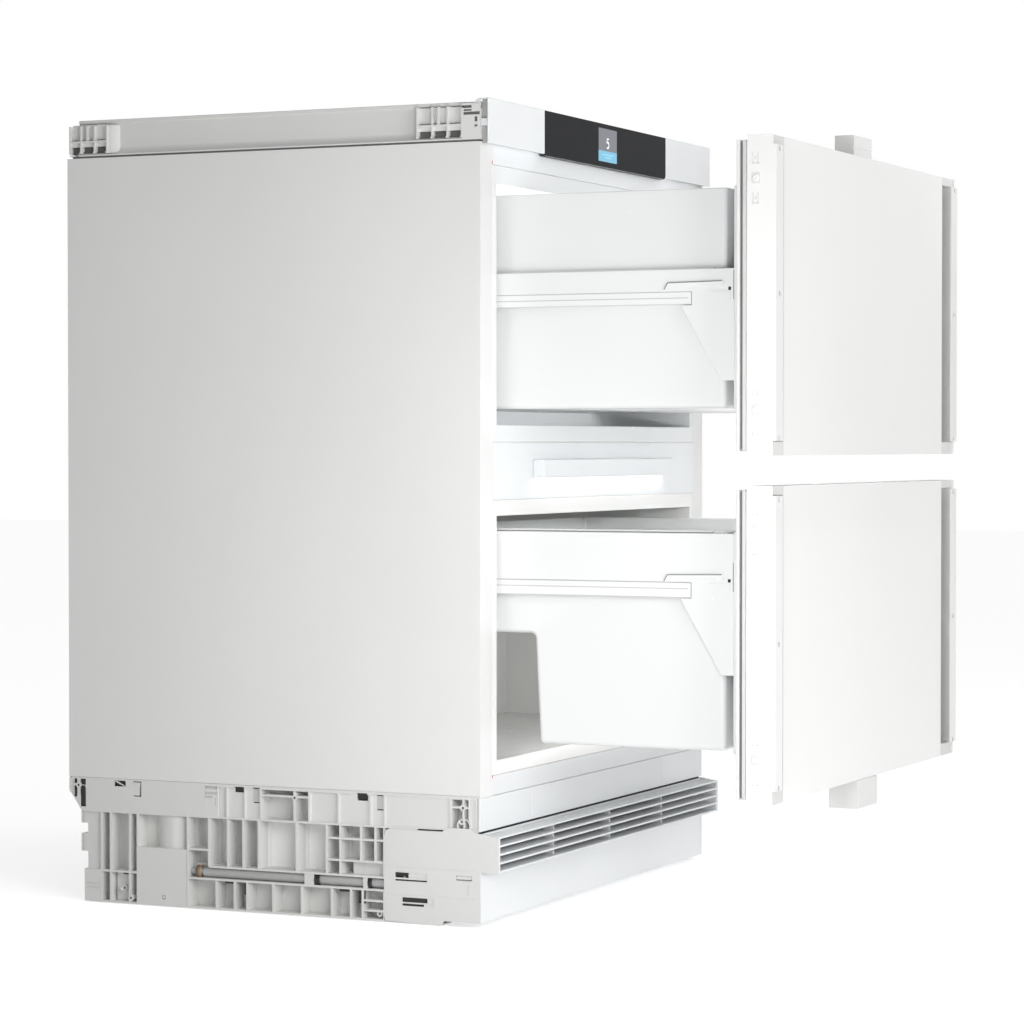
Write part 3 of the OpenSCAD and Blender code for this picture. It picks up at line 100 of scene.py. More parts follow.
def shader(name, colour, roughness, **sockets):
    """A new material: its tree, its Principled shader, and object coordinates in metres."""
    mat = bpy.data.materials.new(name)
    mat.use_nodes = True
    tree = mat.node_tree
    body = tree.nodes["Principled BSDF"]
    body.inputs["Base Color"].default_value = linear(colour)
    body.inputs["Roughness"].default_value = roughness
    for key, value in sockets.items():
        body.inputs[key.replace("_", " ")].default_value = value
    place = add(tree, "ShaderNodeTexCoord").outputs["Object"]
    return mat, tree, body, place


def grain(tree, place, size_mm, detail=2.0, stretch=(1, 1, 1)):
    """Noise whose features measure size_mm, drawn out along an axis by stretch; the height output."""
    spread = add(tree, "ShaderNodeMapping", {"Vector": place, "Scale": stretch})
    noise = add(tree, "ShaderNodeTexNoise",
                {"Vector": spread.outputs[0], "Scale": 1 / (size_mm * MM), "Detail": detail})
    return noise.outputs["Fac"]


def raise_surface(tree, body, height, depth_mm, strength=1.0):
    """Bumps the shader by a height map whose full swing is depth_mm."""
    bump = add(tree, "ShaderNodeBump", {"Height": height, "Distance": depth_mm * MM, "Strength": strength})
    tree.links.new(bump.outputs[0], body.inputs["Normal"])


def tint(tree, body, height, colour_a, colour_b):
    """Varies the base colour between two hex colours with a height map."""
    ramp = add(tree, "ShaderNodeMix", {"Factor": height}, data_type="RGBA")
    ramp.inputs[6].default_value = linear(colour_a)
    ramp.inputs[7].default_value = linear(colour_b)
    tree.links.new(ramp.outputs[2], body.inputs["Base Color"])


def vary_roughness(tree, body, height, low, high):
    """Varies the roughness between two values with a height map."""
    swing = add(tree, "ShaderNodeMapRange", {"Value": height, "To Min": low, "To Max": high})
    tree.links.new(swing.outputs[0], body.inputs["Roughness"])


# ---------------------------------------------------------------- materials

def powder_coated_steel(name, colour, shade):
    """Steel sheet with baked polyester powder: an even satin film with a slight orange peel."""
    mat, tree, body, place = shader(name, colour, 0.36, IOR=1.5, Coat_Weight=0.15)
    tint(tree, body, grain(tree, place, 260, 1.0), colour, shade)
    # orange peel of powder is 1 to 2 mm across; the film's waves are drawn a little coarser to show
    raise_surface(tree, body, grain(tree, place, 2.2), 0.012, 0.35)
    return mat


def moulded_abs(name, colour, shade, roughness=0.46):
    """Injection-moulded ABS with a spark-eroded finish: matt, with a fine even grain."""
    mat, tree, body, place = shader(name, colour, roughness, IOR=1.52)
    tint(tree, body, grain(tree, place, 90, 2.0), colour, shade)
    # spark-eroded grain is 0.1 to 0.3 mm; drawn at 0.9 mm so that it shows from a step away
    raise_surface(tree, body, grain(tree, place, 0.9, 3.0), 0.02, 0.45)
    return mat


def polished_styrene(name, colour, shade):
    """Moulded or vacuum-formed polystyrene: a bright skin with long soft waves from the mould."""
    mat, tree, body, place = shader(name, colour, 0.24, IOR=1.55, Coat_Weight=0.2)
    tint(tree, body, grain(tree, place, 140, 1.0), colour, shade)
    vary_roughness(tree, body, grain(tree, place, 24, 3.0), 0.2, 0.3)
    raise_surface(tree, body, grain(tree, place, 38, 1.0), 0.05, 0.25)
    return mat


def zinc_sheet(name, colour):
    """Hot-dip galvanised sheet: dull metal with spangle crystals 8 to 14 mm across."""
    mat, tree, body, place = shader(name, colour, 0.42, Metallic=0.9)
    cells = add(tree, "ShaderNodeTexVoronoi", {"Vector": place, "Scale": 1 / (11 * MM)})
    vary_roughness(tree, body, cells.outputs["Color"], 0.34, 0.56)
    tint(tree, body, cells.outputs["Distance"], colour, "#a9adb1")
    raise_surface(tree, body, grain(tree, place, 3.0), 0.02, 0.3)
    return mat


def plated_runner_steel(name, colour):
    """Cold-rolled strip with bright zinc plate: fine rolling lines along Y."""
    mat, tree, body, place = shader(name, colour, 0.33, Metallic=0.75)
    # rolling lines are under 0.1 mm apart; drawn 0.8 mm apart so that they show
    lines = grain(tree, place, 0.8, 2.0, (1, 0.02, 1))
    vary_roughness(tree, body, lines, 0.26, 0.42)
    raise_surface(tree, body, lines, 0.01, 0.3)
    return mat


def mill_aluminium(name, colour):
    """Rolled aluminium foil and tube: pale, soft sheen, light handling marks."""
    mat, tree, body, place = shader(name, colour, 0.3, Metallic=1.0)
    vary_roughness(tree, body, grain(tree, place, 6, 4.0), 0.24, 0.44)
    raise_surface(tree, body, grain(tree, place, 14, 2.0), 0.08, 0.3)
    return mat


def black_float_glass(name, colour):
    """Back-printed float glass: deep black, polished, faintly uneven where it was tempered."""
    mat, tree, body, place = shader(name, colour, 0.05, IOR=1.52, Specular_IOR_Level=0.12)
    vary_roughness(tree, body, grain(tree, place, 30, 3.0), 0.03, 0.09)
    raise_surface(tree, body, grain(tree, place, 70, 1.0), 0.02, 0.2)
    return mat


def black_enamel(name, colour):
    """Stoved black enamel on a deep-drawn can: glossy with a soft orange peel."""
    mat, tree, body, place = shader(name, colour, 0.22, IOR=1.5, Coat_Weight=0.4)
    raise_surface(tree, body, grain(tree, place, 4, 1.0), 0.05, 0.4)
    vary_roughness(tree, body, grain(tree, place, 20, 3.0), 0.18, 0.34)
    return mat


def black_nylon(name, colour):
    """Glass-filled nylon: dull black with a faint fibre mottle."""
    mat, tree, body, place = shader(name, colour, 0.5, IOR=1.53)
    tint(tree, body, grain(tree, place, 7, 4.0), colour, "#2a2a2c")
    raise_surface(tree, body, grain(tree, place, 1.2, 3.0), 0.03, 0.5)
    return mat


def soft_pvc(name, colour, shade):
    """Extruded soft PVC of a seal: silky, slightly waxy, with faint die lines."""
    mat, tree, body, place = shader(name, colour, 0.55, IOR=1.5, Sheen_Weight=0.1)
    tint(tree, body, grain(tree, place, 30, 2.0), colour, shade)
    raise_surface(tree, body, grain(tree, place, 1.5, 2.0), 0.03, 0.4)
    return mat


def rigid_foam(name, colour):
    """Rigid polyurethane foam: matt, cream, with cells under a millimetre."""
    mat, tree, body, place = shader(name, colour, 0.9)
    raise_surface(tree, body, grain(tree, place, 1.4, 4.0), 0.4, 0.8)
    return mat


def lit_diffuser(name, colour, strength):
    """Milky polycarbonate lit from behind."""
    mat, tree, body, place = shader(name, colour, 0.5)
    body.inputs["Emission Color"].default_value = linear(colour)
    body.inputs["Emission Strength"].default_value = strength
    raise_surface(tree, body, grain(tree, place, 2.0), 0.02, 0.3)
    return mat


def backlit_panel(name, colour, strength):
    """Liquid crystal panel behind glass: an even glow under a polished face."""
    mat, tree, body, place = shader(name, colour, 0.12, IOR=1.52)
    body.inputs["Emission Color"].default_value = linear(colour)
    body.inputs["Emission Strength"].default_value = strength
    vary_roughness(tree, body, grain(tree, place, 9, 2.0), 0.1, 0.18)
    return mat


def studio_paper(name, colour, strength):
    """Seamless paper: matt, white to the camera and to what mirrors it, and shadowed by the object."""
    mat, tree, body, place = shader(name, colour, 0.95)
    body.inputs["Specular IOR Level"].default_value = 0.1
    tint(tree, body, grain(tree, place, 800, 1.0), colour, colour)
    path = add(tree, "ShaderNodeLightPath").outputs
    seen = add(tree, "ShaderNodeMath", {0: path["Is Camera Ray"], 1: path["Is Glossy Ray"]},
               operation="MAXIMUM")
    seen = add(tree, "ShaderNodeMath", {0: seen.outputs[0], 1: path["Is Transmission Ray"]},
               operation="MAXIMUM")
    glow = add(tree, "ShaderNodeMath", {0: seen.outputs[0], 1: strength}, operation="MULTIPLY")
    body.inputs["Emission Color"].default_value = (1, 1, 1, 1)
    tree.links.new(glow.outputs[0], body.inputs["Emission Strength"])
    return mat


FINISH = {}


def make_finishes(look):
    """Every material of the object: the record's slots by name, then finishes of single pieces."""
    FINISH.update(
        painted_steel=powder_coated_steel("powder_coated_steel", look.shell_colour, "#e4e4e3"),
        galvanised_steel=zinc_sheet("galvanised_sheet", "#bfc3c6"),
        foam=rigid_foam("polyurethane_foam", "#efe6c4"),
        liner_plastic=polished_styrene("polystyrene_liner", look.liner_colour, "#eef0f1"),
        trim_plastic=moulded_abs("satin_abs_trim", look.trim_colour, "#e6e8ea"),
        lamp_diffuser=lit_diffuser("lit_diffuser", "#ffffff", look.lamp_strength),
        moulded_plastic=moulded_abs("moulded_abs", look.base_colour, "#dededc", 0.5),
        black_glass=black_float_glass("black_float_glass", look.glass_colour),
        display_glass=backlit_panel("display_panel", "#8b8c92", 0.55),
        compressor_paint=black_enamel("black_enamel", "#131315"),
        mount_rubber=soft_pvc("mount_rubber", "#151515", "#1c1c1c"),
        black_plastic=black_nylon("black_nylon", "#1b1b1d"),
        bare_aluminium=mill_aluminium("mill_aluminium", "#cfd2d4"),
        fan_plastic=moulded_abs("fan_abs", "#dcdfe1", "#d4d7d9"),
        runner_steel=plated_runner_steel("zinc_plated_strip", "#d9dcde"),
        seal_rubber=soft_pvc("seal_pvc", "#e6e6e5", "#dededd"),
        rail_steel=powder_coated_steel("coated_rail_steel", "#f4f4f3", "#ededec"),
        # the side panels' powder coat made brighter for the drawer fronts: painted light
        front_steel=powder_coated_steel("coated_front_steel", look.brightened_front_colour, "#f4f4f3"),
        pale_runner=powder_coated_steel("coated_runner_steel", "#f2f3f3", "#ebecec"),
        shadow=black_nylon("slot_shadow_nylon", "#161617"),
        # soft grey: painted shade of the steps on the base sides and of the lines along the rails
        groove=moulded_abs("groove_and_step_shade_abs", "#cbcbca", "#c4c4c3"),
        lower_liner=polished_styrene("polystyrene_lower_liner", "#f7f7f5", "#f2f2f0"),
        block=moulded_abs("stop_block_abs", "#efefee", "#eaeae9", 0.6),
        # a lighter copy of the base sides' plastic for the cells' back walls: painted light where little
        # light reaches
        cell=moulded_abs("cell_brightened_abs", "#fbfbfa", "#f6f6f5", 0.6),
        # mid grey: painted shade on the floors of slots and cells and in gaps; also the dark grey of the rod
        # collars
        recess=moulded_abs("dark_grey_and_recess_shade_abs", "#6a6a69", "#5f5f5e", 0.6),
        # grey: the foot rods' own colour, and painted shade in the gaps at the control housing's ends
        rod_plastic=moulded_abs("rod_grey_and_end_shade_abs", "#bababa", "#b1b1b0"),
        bin_plastic=polished_styrene("polystyrene_bin", look.bin_colour, "#eceded"),
    )


SLOT_OF = {s["node"]: s["material_slot"] for s in frame["record"]["subparts"]}
BODY_OF = {n: b for b, members in frame["record"]["behaviour"]["bodies"].items() for n in members}


# ---------------------------------------------------------------- meshes

def mesh_piece(name, points, faces, slot, body, replaced=(), smooth_angle=35, material=None):
    """Puts points in millimetres and their faces into a mesh object that rides on a body."""
    data = bpy.data.meshes.new(name)
    points = np.asarray(points, float).reshape(-1, 3) * MM
    data.from_pydata(points.tolist(), [], [list(f) for f in faces])
    bm = bmesh.new()
    bm.from_mesh(data)
    bmesh.ops.remove_doubles(bm, verts=bm.verts, dist=1e-7)
    bmesh.ops.recalc_face_normals(bm, faces=bm.faces)
    bm.to_mesh(data)
    bm.free()
    return dress(bpy.data.objects.new(name, data), slot, body, replaced, smooth_angle, material)


def dress(piece, slot, body, replaced=(), smooth_angle=35, material=None):
    """Links a finished mesh object, shades it, gives it its material, and makes it ride."""
    bpy.context.scene.collection.objects.link(piece)
    data = piece.data
    data.validate()
    data.shade_smooth()
    data.set_sharp_from_angle(angle=math.radians(smooth_angle))
    data.materials.clear()
    data.materials.append(material or FINISH[slot])
    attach(piece, body)
    if replaced:
        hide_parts(*replaced)
    return piece


def loft(rings, closed=True, caps=True, around=False):
    """Faces that join rings of equal length into one skin; flat caps close its ends.

    Ring k holds points k*n to k*n+n-1, and a face joins points i and i+1 of one ring to the next
    ring's; around joins the last ring to the first instead of capping them.
    """
    rings = np.asarray(rings, float)
    count, n = rings.shape[:2]
    k = np.arange(count if around else count - 1)[:, None]
    i = np.arange(n if closed else n - 1)[None, :]
    j, m = (i + 1) % n, (k + 1) % count
    faces = np.stack([k * n + i, k * n + j, m * n + j, m * n + i], -1).reshape(-1, 4).tolist()
    if caps and not around:
        faces += [list(range(n))[::-1], list(range((count - 1) * n, count * n))]
    return rings.reshape(-1, 3), faces


def joined(parts):
    """Several (points, faces) skins as one."""
    points, faces, start = [], [], 0
    for p, f in parts:
        points.append(np.asarray(p, float).reshape(-1, 3))
        faces += [[v + start for v in face] for face in f]
        start += len(points[-1])
    return np.concatenate(points), faces


def fillet(corners, radii, steps=8, closed=True):
    """A polyline whose corners are replaced by arcs.

    At a corner the arc starts r / tan(a / 2) before it, a being the angle between the two edges, and
    its centre lies on the bisector.
    """
    corners = np.asarray(corners, float)
    radii = np.broadcast_to(radii, len(corners))
    out = []
    for i, (here, r) in enumerate(zip(corners, radii)):
        ends = not closed and i in (0, len(corners) - 1)
        if r <= 0 or ends:
            out.append(here[None])
            continue
        u = corners[i - 1] - here
        v = corners[(i + 1) % len(corners)] - here
        u, v = u / np.linalg.norm(u), v / np.linalg.norm(v)
        half_angle = np.arccos(np.clip(u @ v, -1, 1)) / 2
        middle = here + (u + v) / np.linalg.norm(u + v) * r / np.sin(half_angle)
        a, b = here + u * r / np.tan(half_angle) - middle, here + v * r / np.tan(half_angle) - middle
        turn = np.pi - 2 * half_angle
        t = np.linspace(0, 1, steps + 1)[:, None]
        out.append(middle + (np.sin((1 - t) * turn) * a + np.sin(t * turn) * b) / np.sin(turn))
    return np.concatenate(out)


def inset(corners, distance):
    """A closed outline, counter-clockwise, with every edge moved inwards by a distance."""
    corners = np.asarray(corners, float)
    edge = np.roll(corners, -1, 0) - corners
    normal = np.stack([-edge[:, 1], edge[:, 0]], 1) / np.linalg.norm(edge, axis=1)[:, None]
    out = []
    for i in range(len(corners)):
        n0, n1 = normal[i - 1], normal[i]
        base0, base1 = corners[i] + n0 * distance, corners[i] + n1 * distance
        out.append(np.linalg.solve(np.stack([n0, n1]), [n0 @ base0, n1 @ base1]))
    return np.array(out)


def along_x(outline, x):
    """An outline of (Y, Z) points placed at one X."""
    return np.column_stack([np.full(len(outline), x), outline])


def along_y(outline, y):
    """An outline of (X, Z) points placed at one Y."""
    return np.column_stack([outline[:, 0], np.full(len(outline), y), outline[:, 1]])


def tube(path, radius):
    """A round tube along a path of points; each ring lies across the path's direction there."""
    path = np.asarray(path, float)
    ahead = np.gradient(path, axis=0)
    ahead /= np.linalg.norm(ahead, axis=1)[:, None]
    side = np.cross(ahead, [0.1, 0.2, 0.97])
    side /= np.linalg.norm(side, axis=1)[:, None]
    up = np.cross(side, ahead)
    a = np.linspace(0, 2 * np.pi, 16, endpoint=False)[None, :, None]
    return loft(path[:, None] + radius * (np.cos(a) * side[:, None] + np.sin(a) * up[:, None]))


def turned(profile, centre, axis, sides=32, around=False):
    """A profile of (radius, height) points spun about an axis through a centre.

    A height grows along the axis; a first and last radius of 0 close the ends, and around joins the
    profile's ends, as in a ring.
    """
    axis = np.asarray(axis, float) / np.linalg.norm(axis)
    side = np.cross(axis, [0, 0, 1] if abs(axis[2]) < 0.9 else [0, 1, 0])
    side /= np.linalg.norm(side)
    other = np.cross(axis, side)
    profile = np.asarray(profile, float)
    a = np.linspace(0, 2 * np.pi, sides, endpoint=False)[None, :, None]
    ring = profile[:, 0, None, None] * (np.cos(a) * side + np.sin(a) * other)
    return loft(np.asarray(centre, float) + ring + profile[:, 1, None, None] * axis, around=around)


def slab(lo, hi, radius=0.0, steps=3):
    """A box between two corners whose upright edges (along its thinnest side) are rounded."""
    lo, hi = np.asarray(lo, float), np.asarray(hi, float)
    thin = int(np.argmin(hi - lo))
    a, b = [k for k in range(3) if k != thin]
    outline = fillet([(lo[a], lo[b]), (hi[a], lo[b]), (hi[a], hi[b]), (lo[a], hi[b])], radius, steps)
    rings = []
    for level in (lo[thin], hi[thin]):
        ring = np.zeros((len(outline), 3))
        ring[:, a], ring[:, b], ring[:, thin] = outline[:, 0], outline[:, 1], level
        rings.append(ring)
    return loft(rings)


def screw(centre, axis, radius, height=1.6):
    """A pan-head screw: a low dome with a round recess sunk in it."""
    a = np.linspace(0, np.pi / 2, 6)
    dome = np.column_stack([radius * (0.45 + 0.55 * np.cos(a)), height * (0.35 + 0.65 * np.sin(a))])
    profile = [(radius, 0), *dome, (radius * 0.4, height * 0.95), (radius * 0.14, height * 0.45),
               (0, height * 0.4)]
    return turned(profile, centre, axis, 20)


def flank(side, depths, y, z):
    """A block on the flank: two depths below the outer face, Y behind the front plane, and Z."""
    x = sorted(side * (HALF - depth) for depth in depths)
    return slab((x[0], FRONT + y[0], z[0]), (x[1], FRONT + y[1], z[1]))


def flanks(side, rows):
    """The blocks of a table: a row gives Y from and to, Z from and to, and the two depths."""
    return [flank(side, row[4:], row[:2], row[2:4]) for row in rows]


def flank_plate(side, depths, outline):
    """A plate on the flank between two depths, with an outline of (Y behind the front plane, Z)."""
    outline = np.asarray(outline, float) + (FRONT, 0)
    return loft([along_x(outline, side * (HALF - depth)) for depth in depths])


def flank_ring(side, depths, y, z, outer, inner=0.0):
    """A ring or disc on the flank between two depths, about an axis along X."""
    profile = [(outer, 0), (outer, depths[1] - depths[0])]
    if not inner:
        profile = [(0, 0), *profile, (0, depths[1] - depths[0])]
    else:
        profile = [(inner, 0), *profile, (inner, depths[1] - depths[0])]
    x = side * (HALF - depths[1])
    return turned(profile, (x, FRONT + y, z), (side, 0, 0), 28, bool(inner))


def carved(data, cuts):
    """A mesh less some closed skins of points in millimetres and faces."""
    name = data.name
    block = bpy.data.objects.new("block", data)
    tool_data = bpy.data.meshes.new("tool")
    points, faces = joined(cuts)
    tool_data.from_pydata((points * MM).tolist(), [], faces)
    bm = bmesh.new()
    bm.from_mesh(tool_data)
    bmesh.ops.recalc_face_normals(bm, faces=bm.faces)
    bm.to_mesh(tool_data)
    bm.free()
    tool = bpy.data.objects.new("tool", tool_data)
    for item in (block, tool):
        bpy.context.scene.collection.objects.link(item)
    cut = block.modifiers.new("cut", "BOOLEAN")
    cut.object, cut.operation, cut.solver, cut.use_self = tool, "DIFFERENCE", "EXACT", True
    graph = bpy.context.evaluated_depsgraph_get()
    out = bpy.data.meshes.new_from_object(block.evaluated_get(graph))
    for item in (block, tool):
        bpy.data.objects.remove(item)
    bpy.data.meshes.remove(data)
    bpy.data.meshes.remove(tool_data)
    out.name = name
    return out


EDGE_ANGLE = 40  # degrees; an edge between faces that turn by more is sharp, and is rounded


def soft_copy(node, radius_mm, material=None, cuts=()):
    """A copy of a CAD node with its loose triangles merged, cut further, and its edges rounded."""
    data = frame["nodes"][node].data.copy()
    bm = bmesh.new()
    bm.from_mesh(data)
    bmesh.ops.remove_doubles(bm, verts=bm.verts, dist=2e-6)
    bmesh.ops.dissolve_limit(bm, angle_limit=math.radians(0.5), verts=bm.verts, edges=bm.edges)
    bm.to_mesh(data)
    bm.free()
    name = f"{node}_shell"
    data.name = name
    if cuts:
        data = carved(data, cuts)
    piece = bpy.data.objects.new(name, data)
    dress(piece, SLOT_OF[node], BODY_OF[node], [node], EDGE_ANGLE, material)
    if radius_mm:
        bevel = piece.modifiers.new("rounded edges", "BEVEL")
        bevel.width = radius_mm * MM
        bevel.segments = 2
        bevel.limit_method = "ANGLE"
        bevel.angle_limit = math.radians(EDGE_ANGLE)
        bevel.use_clamp_overlap = True
        piece.modifiers.new("flat faces", "WEIGHTED_NORMAL").keep_sharp = True
    return piece


# ---------------------------------------------------------------- settings

class RefrigeratorLooks(bpy.types.PropertyGroup):
    """Colours and sizes of the finishes."""

    shell_colour: bpy.props.StringProperty(
        name="Shell colour", description="Powder coat of the side panels", default="#eeeeed")
    # brighter than the shell colour: painted light on the same powder coat
    brightened_front_colour: bpy.props.StringProperty(
        name="Front colour", description="Powder coat of the drawer fronts", default="#fafaf9")
    trim_colour: bpy.props.StringProperty(
        name="Trim colour", description="Bars, fascia, grille and plinth", default="#eceeef")
    liner_colour: bpy.props.StringProperty(
        name="Liner colour", description="Inside of the compartments", default="#f2f4f5")
    bin_colour: bpy.props.StringProperty(
        name="Bin colour", description="Bins and side frames", default="#eeefef")
    base_colour: bpy.props.StringProperty(
        name="Base colour", description="Moulded base sides and top frame", default="#e4e4e2")
    glass_colour: bpy.props.StringProperty(
        name="Glass colour", description="Print behind the control glass", default="#242527")
    lamp_strength: bpy.props.FloatProperty(
        name="Lamp strength", description="Glow of the lamp's lens", default=3.0, min=0.0, max=20.0)
    floor_colour: bpy.props.StringProperty(
        name="Floor colour", description="Paper under the object", default="#f4f4f4")


def looks():
    return bpy.context.scene.refrigerator_looks


# ---------------------------------------------------------------- stage

# the camera, as fitted to the photograph: millimetres of lens, metres, and degrees
LENS = 112.46
CAMERA_PLACE = (-3.1460, -1.43845, 0.4793)
CAMERA_TURN = (math.radians(88.74), 0.0, math.radians(-65.16))
CAMERA_RISE = 2.7 / 1024
FLOOR_REACH = 14.0  # metres
WORLD_LIGHT, PAPER_GLOW = 0.38, 0.62
LAMPS = (  # name, place, aim, width and height, and watts; the last four light the open compartments
    ("left_softbox", (-0.95, -0.5, 0.4), (-0.3, -0.22, 0.4), (0.35, 0.5), 3.6),
    ("front_left_softbox", (-1.6, -3.2, 0.9), (0, -0.3, 0.45), (1.6, 1.4), 40),
    ("front_softbox", (1.6, -3.0, 1.0), (0, -0.2, 0.45), (1.4, 1.2), 15),
    ("right_top_lamp", (0.45, -0.55, 1.05), (0.22, -0.09, 0.8), (0.3, 0.2), 0.55),
    ("low_front_lamp", (0.15, -0.33, 0.07), (0.1, -0.09, 0.09), (0.8, 0.05), 0.17),
    ("gap_lamp", (0.05, -0.36, 0.4542), (0.05, 0, 0.4542), (0.48, 0.02), 0.46),
    ("upper_lamp", (0, -0.16, 0.6), (0, -0.1, 1.0), (0.4, 0.25), 0.5),
    ("upper_back_lamp", (-0.08, 0.06, 0.62), (0.16, 0.14, 0.505), (0.3, 0.15), 0.7),
    ("lower_lamp", (0, -0.11, 0.2), (0, 0.2, 0.26), (0.4, 0.05), 0.18),
)


def lamp(name, place, aim, size, power):
    """A soft rectangular light at a place, turned to its aim."""
    data = bpy.data.lights.new(name, "AREA")
    data.shape = "RECTANGLE"
    data.size, data.size_y = size
    data.energy = power
    holder = bpy.data.objects.new(name, data)
    bpy.context.scene.collection.objects.link(holder)
    holder.location = place
    holder.rotation_euler = (Vector(aim) - Vector(place)).to_track_quat("-Z", "Y").to_euler()
    holder.visible_camera = False
    holder.visible_glossy = False


class REFRIGERATOR_OT_stage(bpy.types.Operator):
    """Camera, floor, lamps and world"""

    bl_idname = "refrigerator.stage"
    bl_label = "Stage"

    def execute(self, context):
        scene = context.scene
        scene.view_settings.view_transform = "Standard"
        data = bpy.data.cameras.new("camera")
        data.lens = LENS
        data.sensor_width = 36.0
        data.shift_y = CAMERA_RISE
        data.clip_end = 60
        eye = bpy.data.objects.new("camera", data)
        scene.collection.objects.link(eye)
        eye.location = CAMERA_PLACE
        eye.rotation_euler = CAMERA_TURN
        scene.camera = eye

        world = bpy.data.worlds.new("studio")
        scene.world = world
        world.use_nodes = True
        tree = world.node_tree
        ground = tree.nodes["Background"]
        seen = add(tree, "ShaderNodeLightPath").outputs["Is Camera Ray"]
        level = add(tree, "ShaderNodeMapRange", {"Value": seen, "To Min": WORLD_LIGHT, "To Max": 1.0})
        ground.inputs["Color"].default_value = (1, 1, 1, 1)
        tree.links.new(level.outputs[0], ground.inputs["Strength"])

        floor = bpy.data.meshes.new("floor")
        corners = [(x * FLOOR_REACH, y * FLOOR_REACH, 0) for x, y in ((-1, -1), (1, -1), (1, 1), (-1, 1))]
        floor.from_pydata(corners, [], [(0, 1, 2, 3)])
        floor.materials.append(studio_paper("seamless_paper", looks().floor_colour, PAPER_GLOW))
        holder = bpy.data.objects.new("floor", floor)
        scene.collection.objects.link(holder)

        for row in LAMPS:
            lamp(*row)
        return {"FINISHED"}


# ---------------------------------------------------------------- cabinet

class REFRIGERATOR_OT_cabinet(bpy.types.Operator):
    """Side panels, niche pan, foam, liners and evaporator"""

    bl_idname = "refrigerator.cabinet"
    bl_label = "Cabinet"

    def execute(self, context):
        for name, side in (("left", -1), ("right", 1)):
            soft_copy(f"side_panel_{name}", 0.4, cuts=[flank(side, (-1, 1.25), (-1, 480), (128, 131))])
        for node, radius in (("niche_pan", 0.3), ("insulation_slabs", 0), ("liner_upper", 0.8),
                             ("base_tray", 0.4), ("evaporator", 0.4)):
            soft_copy(node, radius)
        soft_copy("liner_lower", 0.8, material=FINISH["lower_liner"])
        return {"FINISHED"}


BACK_BEADS = (-180, -60, 60, 180)  # middles of the pressed beads across X
BEAD_HALF, BEAD_SLOPE = 16, 8


class REFRIGERATOR_OT_back(bpy.types.Operator):
    """Back panel with pressed beads and its screws

    The sheet is a grid over X and Z. A point's depth falls by the bead depth times a smooth step of
    its distance to the outline of the nearest bead, an upright slot with round ends.
    """

    bl_idname = "refrigerator.back"
    bl_label = "Back panel"

    bead_depth: bpy.props.FloatProperty(
        name="Bead depth", description="Depth of the pressed beads, in millimetres", default=0.8,
        min=0.2, max=0.9)

    def execute(self, context):
        lo, hi = span("back_panel")
        x = np.linspace(lo[0], hi[0], 161)
        z = np.linspace(lo[2], hi[2], 121)
        gx, gz = np.meshgrid(x, z, indexing="ij")
        reach = (hi[2] - lo[2]) / 2 - 60
        upright = np.maximum(np.abs(gz - (lo[2] + hi[2]) / 2) - reach, 0)
        far = np.full(gx.shape, 1e3)
        for middle in BACK_BEADS:
            far = np.minimum(far, np.hypot(gx - middle, upright) - BEAD_HALF)
        t = np.clip(-far / BEAD_SLOPE + 0.5, 0, 1)
        dip = self.bead_depth * t * t * (3 - 2 * t)
        outer = np.stack([gx, hi[1] - dip, gz], -1)
        inner = np.stack([gx, np.full(gx.shape, lo[1]), gz], -1)
        n, m = gx.shape
        i, j = np.meshgrid(np.arange(n - 1), np.arange(m - 1), indexing="ij")
        cells = np.stack([i * m + j, (i + 1) * m + j, (i + 1) * m + j + 1, i * m + j + 1], -1)
        cells = cells.reshape(-1, 4)
        rim = [*[(k, 0) for k in range(n)], *[(n - 1, k) for k in range(1, m)],
               *[(k, m - 1) for k in range(n - 2, -1, -1)], *[(0, k) for k in range(m - 2, 0, -1)]]
        edge = np.array([k * m + l for k, l in rim])
        after = np.roll(edge, -1)
        side = np.stack([edge, after, after + n * m, edge + n * m], -1)
        faces = np.concatenate([cells, cells[:, ::-1] + n * m, side])
        mesh_piece("back_panel_pressed", np.stack([outer, inner]), faces, "galvanised_steel", "cabinet",
                   ["back_panel"], 60)
        heads = []
        for px in np.linspace(lo[0] + 14, hi[0] - 14, 5):
            for pz in (lo[2] + 12, hi[2] - 12):
                heads.append(screw((px, hi[1] - 1.0, pz), (0, 1, 0), 3.4, 1.0))
        mesh_piece("back_panel_screws", *joined(heads), "galvanised_steel", "cabinet")
        return {"FINISHED"}


